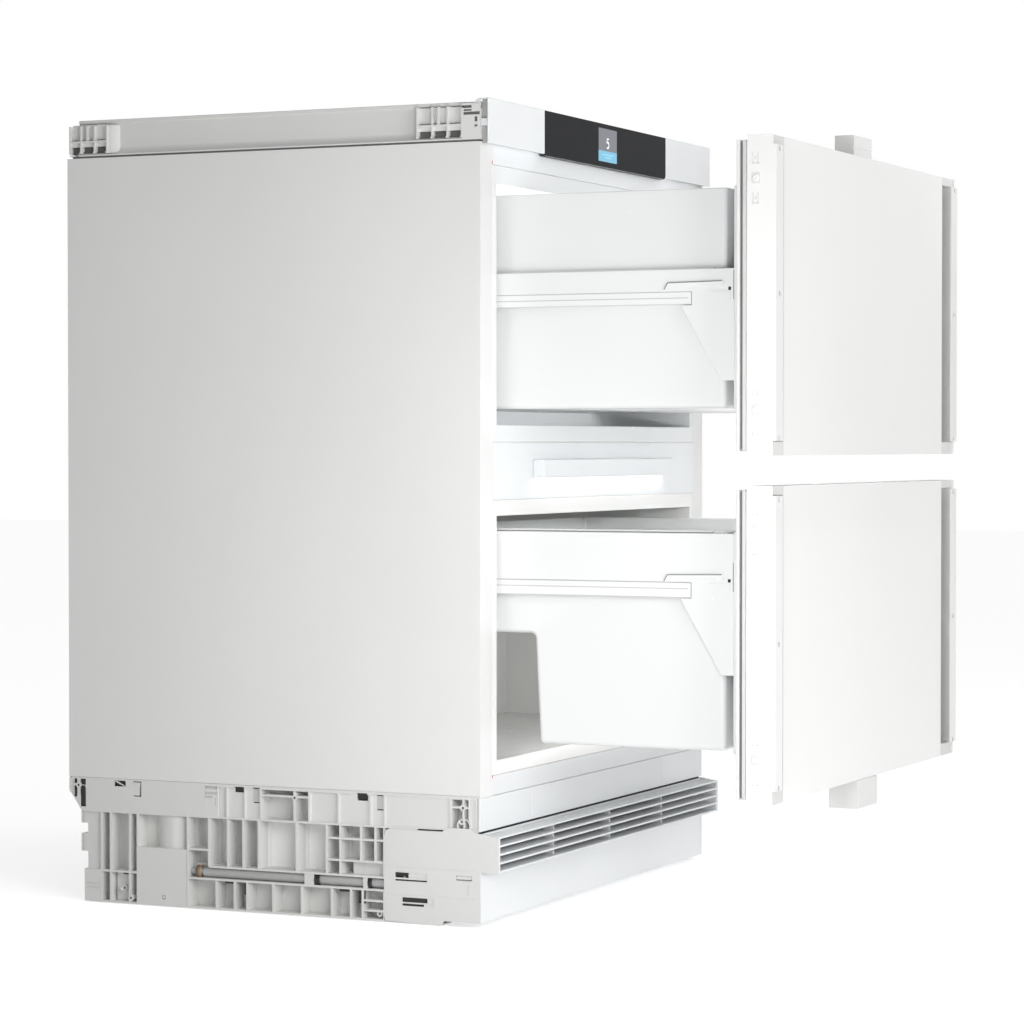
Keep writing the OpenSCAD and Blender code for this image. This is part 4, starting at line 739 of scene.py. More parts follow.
class REFRIGERATOR_OT_trims(bpy.types.Operator):
    """Bars and fascia across the front, lamp bar with its lens, and the two seam marks"""

    bl_idname = "refrigerator.trims"
    bl_label = "Front trims"

    def execute(self, context):
        for node, radius in (("front_cross_bars", 0.5), ("mullion_fascia", 0.5), ("lamp_bar", 0.7),
                             ("lamp_lens", 0.3), ("bottom_fascia", 0.6), ("plinth_panel", 0.8),
                             ("louvre_grille", 0.9)):
            soft_copy(node, radius)
        lo, hi = span("front_cross_bars")
        marks = [slab((-hi[0] - 1.6, FRONT - 0.15, z), (-hi[0] - 0.2, FRONT + 0.5, z + 3))
                 for z in (lo[2] + 17.5, hi[2] - 19.9)]
        red = moulded_abs("red_abs", "#c8403a", "#b83a35")
        mesh_piece("seam_marks", *joined(marks), "trim_plastic", "cabinet", material=red)
        # between the grille and the fascia: a pale strip, and above it a black sheet, the painted shade of
        # the machine room
        edge = HALF - 2.5
        low, high = span("louvre_grille")[1][2], span("bottom_fascia")[0][2]
        mesh_piece("grille_top_strip", *slab((-edge, FRONT + 0.5, low - 2), (edge, FRONT + 1.5, low + 1.8)),
                   "trim_plastic", "cabinet")
        mesh_piece("grille_top_gap", *slab((-edge, FRONT + 3, low), (edge, FRONT + 4, high + 1)),
                   "trim_plastic", "cabinet", material=FINISH["shadow"])
        return {"FINISHED"}


# ---------------------------------------------------------------- top frame and controls

# Fine parts of the corner blocks. A row gives Y behind the front plane, Z, and depths below the
# outer face; the cells give Y alone. At the front: three slots between bars, an upright slot with a
# bridge.
TOP_CUTS = ((0.6, 18.5, 803.9, 815, -1, 2), (3.1, 6.4, 792.3, 801.8, -1, 2))
TOP_BARS = (
    (0.4, 20, 790.5, 815.4, 1.1, 2.4), (6.6, 18.5, 800.4, 803.9, 0.05, 1.4),
    (18.5, 20.4, 811, 815.4, 0, 1.6), (0.6, 18.5, 813.2, 815.4, 0, 1.6),
    (0.6, 9.5, 806.9, 813.2, 0.1, 1.4), (3.1, 6.4, 794, 797, 0.3, 1.4),
    (9.5, 18.5, 809.4, 810.6, 0.3, 1.2),
)
# grey floors set in the slots: painted shade
TOP_SLOTS = (
    (9.5, 18.5, 810.6, 813.2, 0.8, 1.2), (9.5, 18.5, 807.8, 809.4, 0.8, 1.2),
    (0.6, 18.5, 803.9, 806.7, 0.8, 1.2), (3.1, 6.4, 792.3, 801.8, 0.8, 1.2),
)
TOP_CELLS = ((22, 36.2), (37.8, 53), (54.6, 69.5), (431.6, 445), (446.6, 461.5), (463.1, 474.2))


CHANNEL = 9  # depth of the top frame's channels below the flank
HOUSING_DEPTH = 20.2  # the frame's narrow end, behind the control housing
TOP_BEADS = (-213, -123, -13, 97, 187)  # left edges of the beads across X
BEAD_WIDTH = 26


class REFRIGERATOR_OT_top(bpy.types.Operator):
    """Top frame with its coved channels, and the corner blocks

    The frame's cross-section is drawn as (X, Z) and swept along Y. Beside the body a quarter circle,
    hollow to the outside, leads from the lip up to the channel's wall.
    """

    bl_idname = "refrigerator.top"
    bl_label = "Top frame"

    cove: bpy.props.FloatProperty(
        name="Cove", description="Radius of the channel's hollow, in millimetres", default=8, min=4,
        max=8.5)

    def execute(self, context):
        lo, hi = span("top_frame")
        body_x = HALF - CHANNEL
        lip = lo[2] + 2
        a = np.linspace(0, np.pi / 2, 13)
        hollow = np.column_stack([body_x + self.cove * (1 - np.sin(a)),
                                  lip + 1.6 + self.cove * (1 - np.cos(a))])
        right = np.array([(HALF - 2.5, lo[2]), (HALF - 2.5, lip), (HALF - 0.3, lip), (HALF, lip + 0.3),
                          (HALF, lip + 1.3), (HALF - 0.3, lip + 1.6), *hollow,
                          (body_x, hi[2] - 4.5), (body_x + 1.6, hi[2] - 3.2), (body_x + 1.6, hi[2] - 0.5),
                          (body_x + 1.1, hi[2])])
        left = right[::-1] * (-1, 1)
        channel = np.concatenate([right, left])
        front = lo[1] + HOUSING_DEPTH
        parts = [loft([along_y(channel, y) for y in (front, hi[1] + 4)])]
        plain = fillet([(-body_x, lip), (body_x, lip), (body_x, hi[2]), (-body_x, hi[2])], 0.8, 3)
        parts.append(loft([along_y(plain, y) for y in (lo[1] + 0.2, front)]))
        cuts, pale, dark, gap_shades, ends = [], [], [], [], []
        for side in (-1, 1):
            parts.append(flank(side, (0, 14), (463.9, 474.8), (lip, lip + 1.6)))
            # a grey strip in the joint under the frame's lip: painted shade of the gap between frame and side
            # panel
            gap_shades.append(flank(side, (1.2, 2.4), (2, 472), (lo[2], lip + 0.2)))
            for y0, y1 in TOP_CELLS:
                cuts.append(flank(side, (-1, 12.5), (y0, y1), (lip + 2, lip + 5)))
                # a grey floor low in each cell: painted shade
                dark.append(flank(side, (6, 7), (y0, y1), (lip + 1.5, lip + 9.9)))
                pale.append(flank(side, (3, 4), (y0, y1), (lip + 9.9, lip + 15.5)))
                pale.append(flank(side, (5, 6), (y0, y1), (lip + 17.5, lip + 33)))
            cuts += flanks(side, TOP_CUTS)
            pale += flanks(side, TOP_BARS)
            dark += flanks(side, TOP_SLOTS)
            # grey plates in the gaps at the housing's ends: painted shade beside the corner blocks
            ends.append(flank(side, (5, 6), (-7.5, 0), (776, 818.8)))
        mesh_piece("top_frame_coved", *joined(parts), "moulded_plastic", "cabinet", ["top_frame"])
        soft_copy("top_corner_blocks", 0.35, cuts=cuts)
        mesh_piece("top_corner_webs", *joined(pale), "moulded_plastic", "cabinet")
        mesh_piece("top_corner_slots", *joined(dark), "moulded_plastic", "cabinet",
                   material=FINISH["recess"])
        mesh_piece("housing_end_shades", *joined(ends), "moulded_plastic", "cabinet",
                   material=FINISH["rod_plastic"])
        mesh_piece("top_gap_painted_shade", *joined(gap_shades), "moulded_plastic", "cabinet", material=FINISH["recess"])
        beads = [slab((x, front + 40, hi[2] - 0.4), (x + BEAD_WIDTH, hi[1] - 60, hi[2] + 1.1), 12, 8)
                 for x in TOP_BEADS]
        mesh_piece("top_frame_beads", *joined(beads), "moulded_plastic", "cabinet")
        return {"FINISHED"}


def figure_five(x, z, w, h):
    """The centre line of a 5: a bar, a stroke down, and a bowl of three quarters of a circle."""
    r = w * 0.56
    bowl = np.radians(np.linspace(118, -138, 25))
    middle = (x + w * 0.42, z + r)
    curve = np.column_stack([middle[0] + r * np.cos(bowl), middle[1] + r * np.sin(bowl)])
    return np.array([(x + w * 0.92, z + h), (x + w * 0.1, z + h), (x + w * 0.04, z + h * 0.52), *curve])


def ribbon(line, width, y):
    """A flat stroke of a width along a centre line of (X, Z) points, at one Y."""
    ahead = np.gradient(line, axis=0)
    ahead /= np.linalg.norm(ahead, axis=1)[:, None]
    across = np.column_stack([-ahead[:, 1], ahead[:, 0]]) * width / 2
    rings = [along_y(np.stack([p - q, p + q]), y) for p, q in zip(line, across)]
    return loft(rings, closed=False, caps=False)


class REFRIGERATOR_OT_controls(bpy.types.Operator):
    """Control housing, its black glass and the lit display with a figure"""

    bl_idname = "refrigerator.controls"
    bl_label = "Controls"

    def execute(self, context):
        soft_copy("control_housing", 0.7)
        soft_copy("control_glass", 0.3)
        lo, hi = span("control_display")
        split = lo[2] + 0.32 * (hi[2] - lo[2])
        soft_copy("control_display", 0.1, material=two_tone_display(split))
        # the picture lies a hair in front of the glass
        y = lo[1] - 0.05
        figure = ribbon(figure_five(-2.9, lo[2] + 14.4, 5.8, 9.9), 1.1, y)
        bars = [ribbon(np.array([(x0, z), (x1, z)]), 1.3, y)
                for x0, x1, z in ((-15, 15, lo[2] + 7.2), (-9, 9, lo[2] + 4.2))]
        ink = backlit_panel("display_ink", "#eef4f7", 0.95)
        mesh_piece("display_figure", *figure, "display_glass", "cabinet", material=ink)
        mesh_piece("display_bars", *joined(bars), "display_glass", "cabinet",
                   material=backlit_panel("display_bar_ink", "#78b4cf", 0.8))
        glass = span("control_glass")
        house_lo, house_hi = span("control_housing")
        mesh_piece("housing_top_skin", *slab((-HALF + 0.3, house_lo[1] + 0.4, house_hi[2] - 1.1),
                                             (HALF - 0.3, FRONT - 0.1, house_hi[2])),
                   SLOT_OF["control_housing"], "cabinet")
        mesh_piece("glass_carrier", *slab((glass[0][0] + 5, glass[1][1], glass[0][2]),
                                          (glass[1][0], FRONT - 0.3, glass[0][2] + 1.4)),
                   "black_plastic", "cabinet")
        return {"FINISHED"}


def two_tone_display(split):
    """Liquid crystal panel behind glass: grey above a height, blue below it."""
    mat, tree, body, place = shader("two_tone_display", "#151517", 0.12, IOR=1.45)
    height = add(tree, "ShaderNodeSeparateXYZ", {"Vector": place}).outputs["Z"]
    lower = add(tree, "ShaderNodeMath", {0: height, 1: split * MM}, operation="LESS_THAN").outputs[0]
    # a liquid crystal's dots, 0.6 mm apart, are faintly seen in its glow
    dots = grain(tree, place, 0.6, 0.0)
    shade = add(tree, "ShaderNodeMix", {"Factor": lower}, data_type="RGBA")
    shade.inputs[6].default_value = linear("#86888e")
    shade.inputs[7].default_value = linear("#8ac9e6")
    dull = add(tree, "ShaderNodeMapRange", {"Value": dots, "To Min": 0.9, "To Max": 1.02})
    tree.links.new(shade.outputs[2], body.inputs["Emission Color"])
    tree.links.new(dull.outputs[0], body.inputs["Emission Strength"])
    return mat


# ---------------------------------------------------------------- machine base

# Fine parts of the flanks. A row gives Y behind the front plane, Z, and depths below the outer face.
SLOTS = (  # y0, y1, z0, z1, depth of the slot
    (457.6, 464.9, 122.6, 129, 2.5), (457.6, 464.9, 99.8, 120.3, 2.5), (468.3, 472.6, 124, 129, 2.5),
    (468.3, 472.6, 109.5, 120.3, 2.5), (409.1, 422.9, 122.8, 128.9, 3), (390, 399.8, 127.9, 128.9, 1.2),
    (390, 391.3, 114.3, 127.9, 1.2), (390, 399.3, 113.2, 114.3, 1.2), (267.6, 279.6, 123.1, 128.8, 3.9),
    (249.3, 257.6, 127.6, 128.9, 3.2), (249.3, 257.6, 112.7, 113.9, 3.2),
    (125.8, 138.4, 122.3, 128.8, 3.9), (107.6, 115.7, 126.6, 127.9, 3.2),
    (107.6, 115.7, 112.2, 113.4, 3.2), (41.3, 70.2, 94.5, 96.2, 3.5),
)
PLATES = (  # y0, y1, z0, z1, and the two depths
    (391.3, 399.8, 124, 127.8, 0.2, 1.8), (299.6, 313.4, 96, 129, 0.05, 2), (289.1, 298, 96, 129, 2.5, 4),
    (159.6, 191.3, 96.5, 127.5, 3.5, 5), (5.5, 11.2, 96.5, 127.5, 2.5, 4), (462, 465, 82.5, 95.5, 3, 20),
    (462, 465, 53, 71.5, 3, 20), (454, 456.8, 34, 95, 3.1, 20), (407, 424.8, 3, 31.9, 9, 10),
    (361.7, 364.3, 8.7, 11.3, 0.2, 1), (187, 193.2, 33, 44, 1, 1.25), (107, 146, 46, 59, 9, 10),
)
# grey patches in the steps and between the slots: painted shade
GREY_PLATES = (
    (299.6, 313.4, 125.1, 127.7, 0, 0.5), (299.6, 313.4, 119.6, 122.1, 0, 0.5),
    (304.8, 313.4, 116, 118, 0, 0.5), (300.7, 301.7, 108.2, 116.1, 0, 0.5),
    (249.3, 257.6, 113.9, 127.6, 1.9, 2.6), (107.6, 115.7, 113.4, 126.6, 1.9, 2.6),
)
GROOVES = (  # y0, y1, z0, z1, depth: steps of the rear block and of the bracket plate
    (437, 457.2, 19.6, 20.6, 0.7), (440, 457.2, 15.4, 16.3, 0.7), (4.3, 106.4, 56.7, 57.4, 0.4),
    (4.3, 36, 45.7, 46.4, 0.4), (60, 106.4, 45.7, 46.4, 0.4), (4.3, 106.4, 29.3, 30, 0.4),
    (5.8, 16.3, 12.3, 13.6, 0.5),
)
DARK_PLATES = (
    (407.4, 417, 30.2, 31.9, 8.6, 9.2), (145.3, 158.3, 28.2, 30.8, 2, 16), (129.6, 136.9, 17.5, 30.5, 2, 4),
    (279, 291, 28.6, 31, 2, 16), (265.6, 268.6, 18, 30, 2, 16), (361, 365, 8, 12, 0.9, 1.8),
)
BRACKET_PLATES = (  # in the bracket plate's slots: backings, and the bars that cross them
    (10, 26.2, 47.8, 51.2, 1.2, 1.9), (58.8, 79.9, 46.2, 51.5, 1.2, 1.9),
    (58.8, 94.5, 44.6, 46.2, 0.3, 1.9), (51, 87.2, 20.6, 22, 0.3, 1.9), (51.5, 55.7, 4.6, 9.4, 0.4, 1.9),
    (12.8, 13.8, 33.1, 42.8, 0.2, 1.9), (51, 58.8, 22, 26.6, 1, 1.9), (51, 62.7, 18, 20.6, 1, 1.9),
)
BRACKET_SHADOWS = (
    (79.9, 94.5, 47.6, 51.1, 1.2, 1.9), (58.8, 94.5, 42.9, 44.4, 1.2, 1.9),
    (58.8, 87.2, 22, 26.6, 1.2, 1.9), (62.7, 87.2, 18, 20.6, 1.2, 1.9),
)
BOSSES = (  # y, z, radius, radius of its hole, and the two depths
    (466.6, 122.2, 3, 1.3, 0, 4), (307.6, 113.5, 2.9, 1.5, 0, 1.2), (208.9, 120.4, 3, 1.3, 0, 18),
    (19.2, 119.2, 3.2, 1.3, 0, 6), (19, 101, 7.5, 6.3, 1, 6), (413.5, 16.4, 3.3, 1.3, 5, 9.2),
    (403.1, 7.1, 3, 1.2, 0, 6),
)
BACK_RIBS = (335, 309.3, 286.9, 268.8, 250.7, 206.7, 172.1, 156.6, 133.2, 116.8, 106.9)
# depths of the web between the cells, and of the deeper wall behind the open ones
WEB, BACK = 18, 27


class REFRIGERATOR_OT_base(bpy.types.Operator):
    """Moulded base sides with their slots and bosses, bracket plates, adjusting rods and feet"""

    bl_idname = "refrigerator.base"
    bl_label = "Machine base"

    def execute(self, context):
        for node in ("foot_front_left", "foot_front_right", "foot_rear_left", "foot_rear_right"):
            soft_copy(node, 0.5)
        brackets = []
        amber = moulded_abs("amber_nylon", "#b07a45", "#a06d3c")
        for name, side in (("left", -1), ("right", 1)):
            brackets += self.side(name, side)
            soft_copy(f"foot_rod_{name}", 0.5, material=FINISH["rod_plastic"])
            lo, hi = span(f"foot_rod_{name}")
            x, z = (lo[0] + hi[0]) / 2, (lo[2] + hi[2]) / 2

            def sleeve(radius, bore, y0, y1):
                profile = [(bore, 0), (radius - 0.3, 0), (radius, 0.3), (radius, y1 - y0), (bore, y1 - y0)]
                return turned(profile, (x, FRONT + y0, z), (0, 1, 0), 28, True)

            mesh_piece(f"rod_collar_{name}", *sleeve(6.35, 5.05, 323.2, 326), "moulded_plastic",
                       f"rod_{name}", material=FINISH["recess"])
            mesh_piece(f"rod_sleeve_{name}", *sleeve(6.4, 5.05, 321.8, 323.2), "moulded_plastic",
                       f"rod_{name}", material=amber)
            clips = [sleeve(7.2, 6.3, y0, y1) for y0, y1 in ((121.4, 125.8), (181, 186.7))]
            mesh_piece(f"rod_clips_{name}", *joined(clips), "black_plastic", "cabinet")
        soft_copy("base_brackets", 0.4, cuts=brackets)
        return {"FINISHED"}

    def side(self, name, side):
        """One base side, its cut slots and what is set in; returns what its bracket plate is cut by."""
        cuts, pale, grey, dark, deep = [], [], [], [], []
        grooves = [flank(side, (-1, sink), (y0, y1), (z0, z1)) for y0, y1, z0, z1, sink in GROOVES]
        for y0, y1, z0, z1, sink in SLOTS:
            cuts.append(flank(side, (-1, sink), (y0, y1), (z0, z1)))
            # a black floor in each slot: its painted shadow
            dark.append(flank(side, (sink - 0.2, sink + 0.6), (y0, y1), (z0, z1)))
        for table, target in ((PLATES, pale), (GREY_PLATES, grey), (DARK_PLATES, dark)):
            target += flanks(side, table)
        for y, z, radius, hole, *depths in BOSSES:
            pale.append(flank_ring(side, depths, y, z, radius, hole))
            cuts.append(flank_ring(side, (-1, depths[0] + 1), y, z, radius - 0.05))
            if hole < 2:
                dark.append(flank_ring(side, (depths[0] + 0.5, depths[0] + 1), y, z, hole))
        # behind the cells the web lies deeper
        cuts.append(flank(side, (WEB - 0.05, WEB + 2.5), (108, 334.5), (46.1, 94)))
        cuts.append(flank(side, (-1, 8.5), (108, 155.5), (46.1, 58.9)))
        deep.append(flank(side, (BACK, BACK + 1.5), (107, 336), (44, 95)))
        deep += [flank(side, (WEB - 0.1, BACK), (y - 1, y + 1), (44.2, 94.8)) for y in BACK_RIBS]
        deep += [flank(side, (WEB - 0.1, BACK), (y0, y1), (z - 1, z + 1))
                 for z, y0, y1 in ((45, 107, 335), (60, 107, 172), (82, 107, 172), (62, 309, 335),
                                   (95, 107, 335))]
        # the rear foot's socket is a wide upright cylinder
        a = np.radians(np.linspace(-69, 69, 25))
        arc = np.column_stack([side * (HALF - 28 + 25.6 * np.cos(a)), FRONT + 356 + 25.6 * np.sin(a)])
        pale.append(loft([np.column_stack([arc, np.full(len(arc), z)]) for z in (60.5, 95.5)]))
        pale.append(flank_plate(side, (0, 20), [(473.2, 129.2), (477.9, 129.2), (477.9, 116.2),
                                                (473.2, 110.8)]))
        pale.append(flank_plate(side, (0.2, 2), [(409.6, 123.4), (410.4, 123), (421.6, 127.6),
                                                 (420.8, 128.8)]))
        pale.append(flank(side, (0.05, 1.15), (0.4, 475.5), (129.25, 130.7)))
        pale += flanks(side, BRACKET_PLATES)
        dark += flanks(side, BRACKET_SHADOWS)
        # outline of the bracket plate: a raised lower edge in front, a bump above, round rear corners
        low_edge = flank_plate(side, (-1, 20), [(-3, -1), (44.9, -1), (40.1, 5.5), (-3, 5.5)])
        plate = fillet([(99, 88), (106.6, 88), (106.6, 95), (99, 95)], [0, 0, 7, 0], 6)
        upper = np.concatenate([plate[1:-1], [(108, 96), (108, 88)]])
        foot = fillet([(101, 6), (101, 0.9), (106.6, 0.9), (106.6, 6)], [0, 0, 5, 0], 6)
        lower = np.concatenate([foot[1:-1], [(108, 6), (108, 0)]])
        outline = [low_edge, flank_plate(side, (-1, 2.1), upper), flank_plate(side, (-1, 2.1), lower),
                   flank_plate(side, (-1, 2.1), [(-1, 94.2), (4.3, 94.2), (11.4, 99.2), (-1, 99.2)]),
                   flank_plate(side, (-1, 2.1), [(44, 95.7), (44, 99.2), (32.4, 99.2), (41.3, 95.7)]),
                   flank(side, (-1, 2.1), (41.3, 70.2), (94.5, 96.2)),
                   flank(side, (-1, 1), (12.6, 14), (33, 43))]
        soft_copy(f"base_side_{name}", 0.3, cuts=[*cuts, *grooves[:2], low_edge])
        slot = SLOT_OF[f"base_side_{name}"]
        mesh_piece(f"base_webs_{name}", *joined(pale), slot, "cabinet")
        mesh_piece(f"base_cells_{name}", *joined(deep), slot, "cabinet", material=FINISH["cell"])
        mesh_piece(f"base_step_shades_{name}", *joined(grey), slot, "cabinet", material=FINISH["groove"])
        mesh_piece(f"base_slots_{name}", *joined(dark), slot, "cabinet", material=FINISH["shadow"])
        return outline + grooves[2:]


# ---------------------------------------------------------------- drawer fronts

SEAL_SPREAD = 3.0  # how far the seal's outline lies outside the CAD seal's


def seal_ring(level, profile):
    """A profile of (inset, depth) points carried round the seal's outline with mitred corners."""
    lo, hi = span(f"{level}_gasket")
    rings = []
    for inwards, depth in profile:
        x, z0, z1 = hi[0] - inwards, lo[2] + inwards, hi[2] - inwards
        y = lo[1] + depth
        rings.append([(-x, y, z0), (x, y, z0), (x, y, z1), (-x, y, z1)])
    return loft(rings, around=True)


class REFRIGERATOR_OT_seals(bpy.types.Operator):
    """Seals: a pale body, a grey fold and a white lip, mitred at the corners; the fold's grey is partly the
    dark magnet strip and partly painted shade in the fold
    """

    bl_idname = "refrigerator.seals"
    bl_label = "Seals"

    def execute(self, context):
        dark = soft_pvc("seal_magnet_grey_and_fold_shade_pvc", "#7b7b7c", "#727273")
        white = soft_pvc("white_seal_pvc", "#f0f0ef", "#e9e9e8")
        depth = span("upper_gasket")[1][1] - span("upper_gasket")[0][1]
        body = fillet([(1.6, 0), (1.6, 2.6), (0.2, 2.6), (0.2, 6.2), (15.8, 6.2), (15.8, 2.6), (14.4, 2.6),
                       (14.4, 0)], 0.4, 3)
        fold = [(2.2, 6), (2.2, 9.2), (13.8, 9.2), (13.8, 6)]
        lip = fillet([(0, 9), (0, depth), (16, depth), (13, 9)], [0.6, 1.2, 1.2, 0.6], 4)
        for level in LEVELS:
            rings = [seal_ring(level, np.asarray(line) - (SEAL_SPREAD, 0)) for line in (body, fold, lip)]
            ride = f"{level}_drawer"
            for part, ring, material in zip(("body", "fold", "lip"), rings, (None, dark, white)):
                mesh_piece(f"{level}_seal_{part}", *ring, "seal_rubber", ride, [f"{level}_gasket"],
                           material=material)
        return {"FINISHED"}


# the fittings on a front's sides: middles above its lower and below its upper end, how far towards
# the cabinet, and the clips' places above and below a screw
FITTING_LOW, FITTING_HIGH, FITTING_BACK, CLIP_AWAY = 43.5, 41, 6, 19


class REFRIGERATOR_OT_fronts(bpy.types.Operator):
    """Drawer fronts: skin, core, inner sheet, side rails, stop block and the fittings on the sides"""

    bl_idname = "refrigerator.fronts"
    bl_label = "Drawer fronts"

    def execute(self, context):
        for level in LEVELS:
            for part, radius in (("front_core", 0.6), ("front_liner", 1.4), ("panel_rails", 0.4)):
                soft_copy(f"{level}_{part}", radius)
            soft_copy(f"{level}_front_skin", 0.4, material=FINISH["front_steel"])
            soft_copy(f"{level}_stop_block", 0.9, material=FINISH["block"])
            self.fittings(level)
        return {"FINISHED"}

    def fittings(self, level):
        """Near the top and bottom of each side: a screw in a square washer between two clips."""
        lo, hi = span(f"{level}_panel_rails")
        y = (lo[1] + hi[1]) / 2 + FITTING_BACK
        washers, heads, clips = [], [], []
        for side in (-1, 1):
            x = side * hi[0]
            for middle in (lo[2] + FITTING_LOW, hi[2] - FITTING_HIGH):
                washers.append(slab((x - 0.25, y - 4.2, middle - 5.4), (x + 0.25, y + 4.2, middle + 5.4),
                                    1.2))
                heads.append(screw((x + side * 0.2, y, middle), (side, 0, 0), 3.3, 1.2))
                for away in (-CLIP_AWAY, CLIP_AWAY):
                    z = middle + away
                    for y0, y1, z0, z1 in ((-3, -2.2, -5.5, 5.5), (2.2, 3, -5.5, 5.5),
                                           (-3, 3, -5.5, -4.6), (-1.2, 1.2, -1.5, 1.2)):
                        clips.append(slab((x - 0.45, y + y0, z + z0), (x + 0.45, y + y1, z + z1)))
        body = f"{level}_drawer"
        mesh_piece(f"{level}_side_washers", *joined(washers), "rail_steel", body,
                   material=FINISH["moulded_plastic"])
        mesh_piece(f"{level}_side_screws", *joined(heads), "rail_steel", body)
        mesh_piece(f"{level}_side_clips", *joined(clips), "rail_steel", body,
                   material=FINISH["moulded_plastic"])


# ---------------------------------------------------------------- drawers

def bin_shell(section, concave, hx, corner, wall, top):
    """A moulded bin from its side view.

    The skin is drawn for a row of places across X. From the edge of the flat middle to the side wall
    a quarter circle of the corner's radius moves the place outwards by its sine while the side view
    shrinks by one minus its cosine. The inner skin is the same, smaller by the wall, and a rolled
    strip joins the two along the rim.
    """
    section = np.asarray(section, float)
    hollow = np.isin(np.arange(len(section)), concave)

    def skin(inwards, rim_z):
        a = np.linspace(0, np.pi / 2, 9)
        r = corner - inwards
        places = hx - inwards - r + r * np.sin(a)
        rings = []
        for x, e in zip(places, inwards + r * (1 - np.cos(a))):
            radii = np.where(hollow, 6 + e, np.maximum(corner - e, 0.05))
            radii[[0, -1]] = 0
            line = fillet(inset(section, e), radii, 8)
            for end, inner in ((0, 1), (-1, -2)):
                t = (rim_z - line[inner][1]) / (line[end][1] - line[inner][1])
                line[end] = line[inner] + (line[end] - line[inner]) * t
            rings.append(along_x(line, x))
        rings = np.array(rings)
        return np.concatenate([rings[::-1] * (-1, 1, 1), rings])

    rolled = 0.8
    outer, inner = skin(0, top - rolled), skin(wall, top - rolled)
    rims = []
    for rings in (outer, inner):
        rims.append(np.concatenate([rings[:, 0], rings[::-1, -1]]))
    raised = [rims[0] * (1 - t) + rims[1] * t + (0, 0, rolled) for t in (0.25, 0.75)]
    strip = loft([rims[0], *raised, rims[1]], caps=False)
    return joined([loft(outer, closed=False), loft(inner, closed=False), strip])


BIN_WALL = 2.5
BIN_MARGIN = 6  # from the outer edge of a bin's ledge to its wall
# the lower bin: how far its deep part reaches, its step's rise, and its floor below the CAD's
DEEP_REACH, STEP_RISE, FLOOR_DROP = 203, 107.4, 2.7


class REFRIGERATOR_OT_bins(bpy.types.Operator):
    """Bins: moulded shells with rounded corners, drafted walls and a rolled rim"""

    bl_idname = "refrigerator.bins"
    bl_label = "Bins"

    corner: bpy.props.FloatProperty(
        name="Corner radius", description="Radius of the bins' corners, in millimetres", default=5,
        min=4, max=20)

    def execute(self, context):
        high = 400  # the side view's walls run on above the rim, and the shell is cut off there
        lo, hi = span("upper_bin")
        hx = hi[0] - BIN_MARGIN
        ledge_z = span("upper_side_frames")[1][2] + 0.2
        section = [(lo[1], hi[2] + high), (lo[1] + 1.5, lo[2]), (hi[1] - 1.5, lo[2]), (hi[1], hi[2] + high)]
        shell = bin_shell(section, [], hx, self.corner, BIN_WALL, hi[2])
        ledges = [slab((side * (hx + 2.8) - 3.2, lo[1] + 12, ledge_z),
                       (side * (hx + 2.8) + 3.2, hi[1] - 12, ledge_z + 1.2)) for side in (-1, 1)]
        mesh_piece("upper_bin_moulded", *joined([shell, *ledges]), "bin_plastic", "upper_drawer",
                   ["upper_bin"])

        lo, hi = span("lower_bin")
        rim = hi[2] - 1.2
        deep = lo[1] + DEEP_REACH
        step_z = lo[2] + STEP_RISE
        floor = lo[2] - FLOOR_DROP
        section = [(lo[1], hi[2] + high), (lo[1] + 1.5, floor), (deep - 3.5, floor), (deep + 2, step_z),
                   (hi[1] - 1, step_z), (hi[1], hi[2] + high)]
        shell = bin_shell(section, [3], hx, self.corner, BIN_WALL, hi[2])
        ledges = [slab((side * (hx + 2.8) - 3.2, lo[1] + 12, rim),
                       (side * (hx + 2.8) + 3.2, hi[1] - 12, hi[2])) for side in (-1, 1)]
        mesh_piece("lower_bin_moulded", *joined([shell, *ledges]), "bin_plastic", "lower_drawer",
                   ["lower_bin"])
        return {"FINISHED"}


RAIL_FACE = 255  # outer face of the drawer rails from the middle
RAIL_HEIGHT = 12.5  # of a rail's pressed band, below its upper edge
STAY_PLACE = 29  # the stay's front edge behind the rails' front end
LEVER_MIDDLE = 5.5  # the catch lever's middle ahead of the stay
LEVER_DROPS = (2.5, 4)  # its zero height below the band, in the upper and the lower drawer
LEVER = np.array([(34, 5), (30, 11.5), (-27, 12.5), (-29, 8), (-22, 6.5), (-20, 9), (22, 8)])
LEVER_EDGE = np.array([(34, 5), (33, 5), (29.4, 10.9), (-26.4, 11.8), (-27, 12.6), (30, 11.6)])


